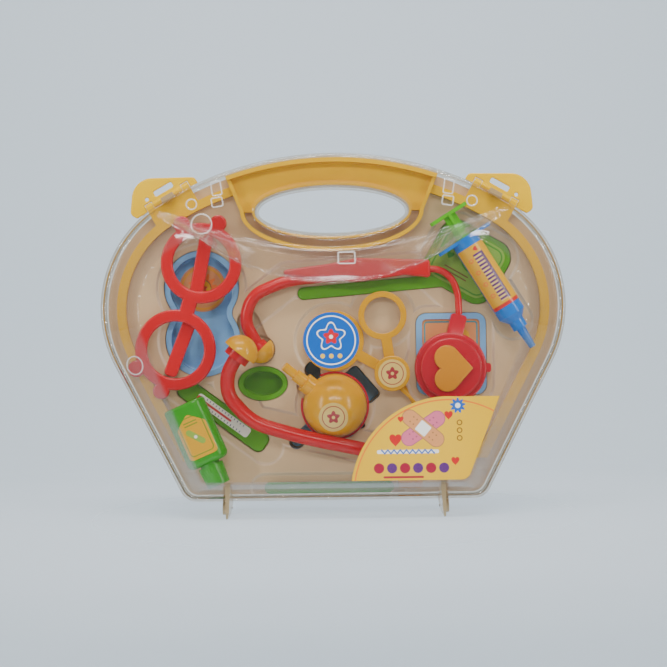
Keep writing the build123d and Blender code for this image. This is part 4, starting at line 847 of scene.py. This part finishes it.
class CaseColours(bpy.types.PropertyGroup):
    """Colours of the moulded pieces."""

    yellow: colour_property("Yellow", "Frame and latches", "EAB800")
    red: colour_property("Red", "Spectacles and stethoscope springs", "C80014")
    chest_red: colour_property("Chest red", "Chest piece and the collar of the bulb", "C00828")
    dish_blue: colour_property("Dish blue", "Kidney dish, card frame and flat tools", "8AC4FC")
    sky_blue: colour_property("Sky blue", "Syringe barrel", "0074D8")
    lime: colour_property("Lime", "Syringe plunger", "60CC00")
    bottle_green: colour_property("Bottle green", "Medicine bottle and spatula", "309C10")
    leaf_green: colour_property("Leaf green", "Mirror, oval dish and thermometer", "6CBC28")
    amber: colour_property("Amber", "Heart of the chest piece and the pill box", "DC9010")
    bulb_yellow: colour_property("Bulb yellow", "Squeeze bulb, scissors and ear tips", "E8AA00")
    label_yellow: colour_property("Label yellow", "Ground of the corner label", "EAB400")
    tan: colour_property("Tan", "Formed tray", "E6C8A0")


# --- Pieces ---
class DOCTORCASE_OT_clear_halves(bpy.types.Operator):
    """Makes the two clear moulded halves, with their compartments, hand hole lips and feet"""

    bl_idname = "doctorcase.clear_halves"
    bl_label = "Clear halves"

    def execute(self, context):
        tint = (0.985, 0.975, 0.955, 1)
        thick = moulded_plastic("thick_clear_plastic", linear("C8B084"), 0.1, 0.55)
        # The front's marks include painted reflections of a window.
        for name, node, body, side, marks in (
                ("clear_front", "front_shell", "case_front", 1, mould_rings_and_painted_glints),
                ("clear_rear", "rear_shell", "case_back", -1, None)):
            finish = clear_plastic(name + "_plastic", tint, 0.14, marks)
            piece(name, both_sides(half_shell(side)), finish, body, [node], WALL)
            feet = [foot(side)] + ([catch_tooth()] if side > 0 else [])
            piece(name + "_feet", both_sides(feet), thick, body)
        return {"FINISHED"}


def finished(node, finish):
    """Skin of a CAD node: its loose triangles merged into one net, smooth between sharp edges."""
    source = NODES[node]
    corners = np.empty(len(source.data.vertices) * 3)
    source.data.vertices.foreach_get("co", corners)
    source.data.calc_loop_triangles()
    faces = np.empty(len(source.data.loop_triangles) * 3, dtype=np.int32)
    source.data.loop_triangles.foreach_get("vertices", faces)
    keys = np.round(corners.reshape(-1, 3) / 1e-6).astype(np.int64)
    _, first, merged = np.unique(keys, axis=0, return_index=True, return_inverse=True)
    faces = merged.reshape(-1)[faces].reshape(-1, 3)
    whole = (faces[:, 0] != faces[:, 1]) & (faces[:, 1] != faces[:, 2]) & (faces[:, 2] != faces[:, 0])
    mesh = bpy.data.meshes.new(node + "_skin")
    mesh.from_pydata(corners.reshape(-1, 3)[first].tolist(), [], faces[whole].tolist())
    thing = shown_mesh(mesh, finish, sharp=32.0)
    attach(thing, source.parent.name.split(":", 1)[1])
    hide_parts(node)


class Dressing:
    """Shared work of the operators that give moulded pieces and stickers their skins.

    skins: for each run of nodes, the function that makes their material, its name, its colour (a name
    in CaseColours or a colour), and what else that function takes.
    """

    def execute(self, context):
        for nodes, (make, name, colour, *others) in self.skins.items():
            if isinstance(colour, str):
                colour = tuple(getattr(context.scene.doctorcase_colours, colour))
            finish = make(name, colour, *others)
            for node in nodes.split():
                finished(node, finish)
        return {"FINISHED"}


class DOCTORCASE_OT_tray(Dressing, bpy.types.Operator):
    """Finishes the formed tray that holds the instruments"""

    bl_idname = "doctorcase.tray"
    bl_label = "Tray"
    skins = {"blister_tray": (formed_sheet, "tan_clear_plastic", "tan")}


class DOCTORCASE_OT_carrying_frame(Dressing, bpy.types.Operator):
    """Finishes the yellow frame, its latches and the pins"""

    bl_idname = "doctorcase.carrying_frame"
    bl_label = "Frame and latches"
    skins = {
        "yellow_frame latch_left latch_right": (
            moulded_plastic, "yellow_plastic", "yellow", 0.16, 1.0, 0.1),
        "latch_pin_left latch_pin_right hinge_pin_left hinge_pin_right": (
            brushed_steel, "steel", (0.62, 0.62, 0.64, 1))}


class DOCTORCASE_OT_spectacles(Dressing, bpy.types.Operator):
    """Finishes the play spectacles and their side arms"""

    bl_idname = "doctorcase.spectacles"
    bl_label = "Spectacles"
    skins = {
        "glasses_front glasses_temple_upper glasses_temple_lower": (
            moulded_plastic, "spectacle_plastic", "red", 0.2, 1.0, 0.05)}


class DOCTORCASE_OT_dishes(Dressing, bpy.types.Operator):
    """Finishes the kidney dish, the oval dish and the plate sticker"""

    bl_idname = "doctorcase.dishes"
    bl_label = "Dishes"
    skins = {
        "kidney_dish": (moulded_plastic, "dish_plastic", "dish_blue", 0.12, 0.82, 0.1),
        "oval_dish": (moulded_plastic, "tinted_green_plastic", "leaf_green", 0.12, 0.6),
        "dish_label": (printed_paper, "dish_print", INKS["skin"], plate_art, (-88.5, 152.5))}


class DOCTORCASE_OT_stethoscope(Dressing, bpy.types.Operator):
    """Finishes the stethoscope: springs, ear tips, chest piece and its heart"""

    bl_idname = "doctorcase.stethoscope"
    bl_label = "Stethoscope"
    skins = {
        "headset_band headset_arm": (moulded_plastic, "red_plastic", "red", 0.2, 1.0, 0.05),
        "chest_piece": (moulded_plastic, "chest_plastic", "chest_red", 0.22, 1.0, 0.1),
        "chest_heart": (moulded_plastic, "amber_plastic", "amber", 0.25),
        "ear_tip_lower ear_tip_upper": (
            moulded_plastic, "ear_tip_plastic", "bulb_yellow", 0.14, 1.0, 0.1)}


class DOCTORCASE_OT_squeeze_bulb(Dressing, bpy.types.Operator):
    """Finishes the squeeze bulb, the collar it sits in and its sticker"""

    bl_idname = "doctorcase.squeeze_bulb"
    bl_label = "Squeeze bulb"
    skins = {
        "squeeze_bulb": (moulded_plastic, "bulb_plastic", "bulb_yellow", 0.18, 1.0, 0.15),
        "gauge_ring": (moulded_plastic, "collar_plastic", "chest_red", 0.24),
        "bulb_sticker": (printed_paper, "bulb_print", INKS["cream"], seal_art, (-0.8, 65.3))}


class DOCTORCASE_OT_scissors(Dressing, bpy.types.Operator):
    """Finishes the play scissors, their rivet and its sticker"""

    bl_idname = "doctorcase.scissors"
    bl_label = "Scissors"
    skins = {
        "scissors_left scissors_right scissors_rivet": (
            moulded_plastic, "scissor_plastic", "bulb_yellow", 0.16, 0.86, 0.1),
        "scissors_sticker": (printed_paper, "scissors_print", INKS["cream"], seal_art, (38.9, 93.3))}


class DOCTORCASE_OT_syringe(Dressing, bpy.types.Operator):
    """Finishes the syringe, its plunger and the graduated label"""

    bl_idname = "doctorcase.syringe"
    bl_label = "Syringe"
    skins = {
        "syringe_barrel": (moulded_plastic, "blue_plastic", "sky_blue", 0.14, 1.0, 0.1),
        "syringe_plunger": (moulded_plastic, "lime_plastic", "lime", 0.18, 1.0, 0.1),
        "syringe_label": (printed_paper, "gauge_print", INKS["yellow"], gauge_art, (87.6, 183.0), -58.3)}


class DOCTORCASE_OT_mirror_and_card(Dressing, bpy.types.Operator):
    """Finishes the hand mirror, the framed card and their prints"""

    bl_idname = "doctorcase.mirror_and_card"
    bl_label = "Mirror and card"
    skins = {
        "mirror_paddle": (moulded_plastic, "mirror_plastic", "leaf_green", 0.1, 0.66),
        "mirror_label": (printed_paper, "mirror_print", INKS["leaf"], glass_art, (90.4, 167.6), -30),
        "card_frame": (moulded_plastic, "card_plastic", "dish_blue", 0.14, 0.8),
        "card_picture": (printed_paper, "card_print", INKS["skin"], card_art, (79.1, 105.7))}


class DOCTORCASE_OT_bottle_and_thermometer(Dressing, bpy.types.Operator):
    """Finishes the medicine bottle, its cap, the thermometer and their prints"""

    bl_idname = "doctorcase.bottle_and_thermometer"
    bl_label = "Bottle and thermometer"
    skins = {
        "medicine_bottle bottle_cap": (moulded_plastic, "green_plastic", "bottle_green", 0.2, 1.0, 0.1),
        "bottle_label": (printed_paper, "shield_print", INKS["yellow"], shield_art, (-91.8, 54.8), -66.7),
        "thermometer": (moulded_plastic, "thermometer_plastic", "leaf_green", 0.12, 0.6),
        "thermometer_label": (
            printed_paper, "scale_print", INKS["white"], scale_art, (-75.2, 66.3), -36.6)}


class DOCTORCASE_OT_flat_tools(Dressing, bpy.types.Operator):
    """Finishes the hammer, the tweezers, the spatula and the pill box"""

    bl_idname = "doctorcase.flat_tools"
    bl_label = "Flat tools"
    skins = {
        "reflex_hammer tweezers": (moulded_plastic, "tool_plastic", "dish_blue", 0.2),
        "spatula": (moulded_plastic, "spatula_plastic", "bottle_green", 0.22),
        "pill_box": (moulded_plastic, "orange_plastic", "amber", 0.22)}


class DOCTORCASE_OT_case_stickers(Dressing, bpy.types.Operator):
    """Finishes the two stickers on the front of the case"""

    bl_idname = "doctorcase.case_stickers"
    bl_label = "Case stickers"
    skins = {
        "round_sticker": (printed_paper, "disc_print", INKS["blue"], disc_art, (-1.6, 116.2)),
        "fan_label": (printed_paper, "fan_print", "label_yellow", fan_art)}


# --- Studio ---
PAPER = linear("DCE8F1")


def placed(name, data, location, target, roll=0.0):
    """Lamp or camera that points at a target."""
    thing = bpy.data.objects.new(name, data)
    bpy.context.scene.collection.objects.link(thing)
    aim = (Vector(target) - Vector(location)).to_track_quat("-Z", "Y")
    thing.location = location
    thing.rotation_euler = (aim @ Quaternion((0, 0, 1), roll)).to_euler()
    return thing


def softbox(name, location, size, brightness, target=(0, 0, 0.12)):
    """Soft lamp whose face has the given brightness, so that a small one mirrors as white."""
    lamp = bpy.data.lights.new(name, "AREA")
    lamp.shape, lamp.size, lamp.size_y = "RECTANGLE", size[0], size[1]
    lamp.energy = brightness * math.pi * size[0] * size[1]
    placed(name, lamp, location, target)


def backdrop():
    """Floor that rises into a wall through a quarter circle: a profile carried along X."""
    half, front, wall, radius, height, low = 3.0, -3.0, 1.15, 0.5, 3.0, -0.32
    turn = np.linspace(0, math.pi / 2, 24)
    depth = np.concatenate([[front], wall - radius + radius * np.sin(turn), [wall]])
    rise = np.concatenate([[low], low + radius - radius * np.cos(turn), [height]])
    across = np.array([-half, half])
    points, faces = grid(np.stack(np.broadcast_arrays(across[:, None], depth, rise), axis=-1))
    paper = Finish("backdrop_paper")
    tone = paper.noise(paper.place(), 3.0)
    colour = paper.mix(tone * 0.2, PAPER, shade(PAPER, 0.96))
    surface = paper.principled(Base_Color=colour, Roughness=0.85)
    stage_piece("backdrop", points.tolist(), faces.tolist(), paper.shown(surface))


def pane():
    """Clear pane that the case stands on.

    It takes a faint shadow and fades out all round, so that the opened half shows below it.
    """
    reach, fade, cover = 0.6, 0.42, 0.34
    corners = [(-reach, -reach, 0.0), (reach, -reach, 0.0), (reach, reach, 0.0), (-reach, reach, 0.0)]
    finish = Finish("pane_glass")
    across, along, _ = finish.parts(finish.place())
    share = ((across * across + along * along) * (-1 / fade**2) + 1.0).most(0.0) * cover
    film = finish.principled(Base_Color=PAPER, Roughness=0.8)
    mixed = finish.blend(share, finish.clear((1, 1, 1, 1)), film)
    stage_piece("pane", corners, [(0, 1, 2, 3)], finish.shown(mixed))


def stage_piece(name, points, faces, material):
    """Smooth sheet of the studio, which isn't part of the object."""
    mesh = bpy.data.meshes.new(name)
    mesh.from_pydata(points, [], faces)
    shown_mesh(mesh, material)


class StudioSettings(bpy.types.PropertyGroup):
    """Sizes of the studio round the case."""

    distance: bpy.props.FloatProperty(
        name="Distance", description="From the camera to the seam", default=0.95, unit="LENGTH")
    field: bpy.props.FloatProperty(
        name="Field", description="Width that the camera sees at the seam", default=0.447, unit="LENGTH")
    aim_height: bpy.props.FloatProperty(
        name="Aim height", description="Height that the camera points at", default=0.1205, unit="LENGTH")
    roll: bpy.props.FloatProperty(
        name="Roll", description="Lean of the camera", default=math.radians(-0.8), unit="ROTATION")


class DOCTORCASE_OT_studio(bpy.types.Operator):
    """Adds the pale backdrop, the soft lights and the camera"""

    bl_idname = "doctorcase.studio"
    bl_label = "Studio"

    def execute(self, context):
        sizes = context.scene.doctorcase_studio
        backdrop()
        pane()
        softbox("overhead", (0.0, -0.42, 1.15), (0.9, 0.15), 31)
        softbox("left_strip", (-1.0, -0.75, 0.35), (0.045, 0.8), 66)
        softbox("right_strip", (1.0, -0.75, 0.35), (0.045, 0.8), 60)
        softbox("front_fill", (0.0, -1.6, 1.0), (1.3, 0.07), 54)
        softbox("wall_wash", (0.0, 0.16, 1.9), (2.2, 0.06), 33, (0, 1.15, 0.2))
        world = bpy.data.worlds.new("soft_room")
        world.use_nodes = True
        sky = world.node_tree.nodes["Background"].inputs
        sky["Color"].default_value, sky["Strength"].default_value = (0.86, 0.90, 0.95, 1), 0.2
        context.scene.world = world
        lens = bpy.data.cameras.new("camera")
        lens.lens = lens.sensor_width * sizes.distance / sizes.field
        spot, target = (0, -sizes.distance, sizes.aim_height), (0, 0, sizes.aim_height)
        context.scene.camera = placed("camera", lens, spot, target, sizes.roll)
        return {"FINISHED"}


class DOCTORCASE_PT_panel(bpy.types.Panel):
    """Buttons for the pieces of the case"""

    bl_label = "Doctor case"
    bl_idname = "DOCTORCASE_PT_panel"
    bl_space_type = "VIEW_3D"
    bl_region_type = "UI"
    bl_category = "Doctor case"

    def draw(self, context):
        for kind in OPERATORS:
            self.layout.operator(kind.bl_idname)
        for group in (context.scene.doctorcase_studio, context.scene.doctorcase_colours):
            for name in type(group).__annotations__:
                self.layout.prop(group, name)


OPERATORS = (
    DOCTORCASE_OT_studio, DOCTORCASE_OT_clear_halves, DOCTORCASE_OT_tray, DOCTORCASE_OT_carrying_frame,
    DOCTORCASE_OT_spectacles, DOCTORCASE_OT_dishes, DOCTORCASE_OT_stethoscope, DOCTORCASE_OT_squeeze_bulb,
    DOCTORCASE_OT_scissors, DOCTORCASE_OT_syringe, DOCTORCASE_OT_mirror_and_card,
    DOCTORCASE_OT_bottle_and_thermometer, DOCTORCASE_OT_flat_tools, DOCTORCASE_OT_case_stickers)
CLASSES = (CaseColours, StudioSettings, *OPERATORS, DOCTORCASE_PT_panel)


def register():
    for kind in CLASSES:
        bpy.utils.register_class(kind)
    bpy.types.Scene.doctorcase_colours = bpy.props.PointerProperty(type=CaseColours)
    bpy.types.Scene.doctorcase_studio = bpy.props.PointerProperty(type=StudioSettings)


def unregister():
    del bpy.types.Scene.doctorcase_studio, bpy.types.Scene.doctorcase_colours
    for kind in reversed(CLASSES):
        bpy.utils.unregister_class(kind)


def main():
    register()
    for kind in OPERATORS:
        group, action = kind.bl_idname.split(".")
        getattr(getattr(bpy.ops, group), action)()


if __name__ == "__main__":
    main()
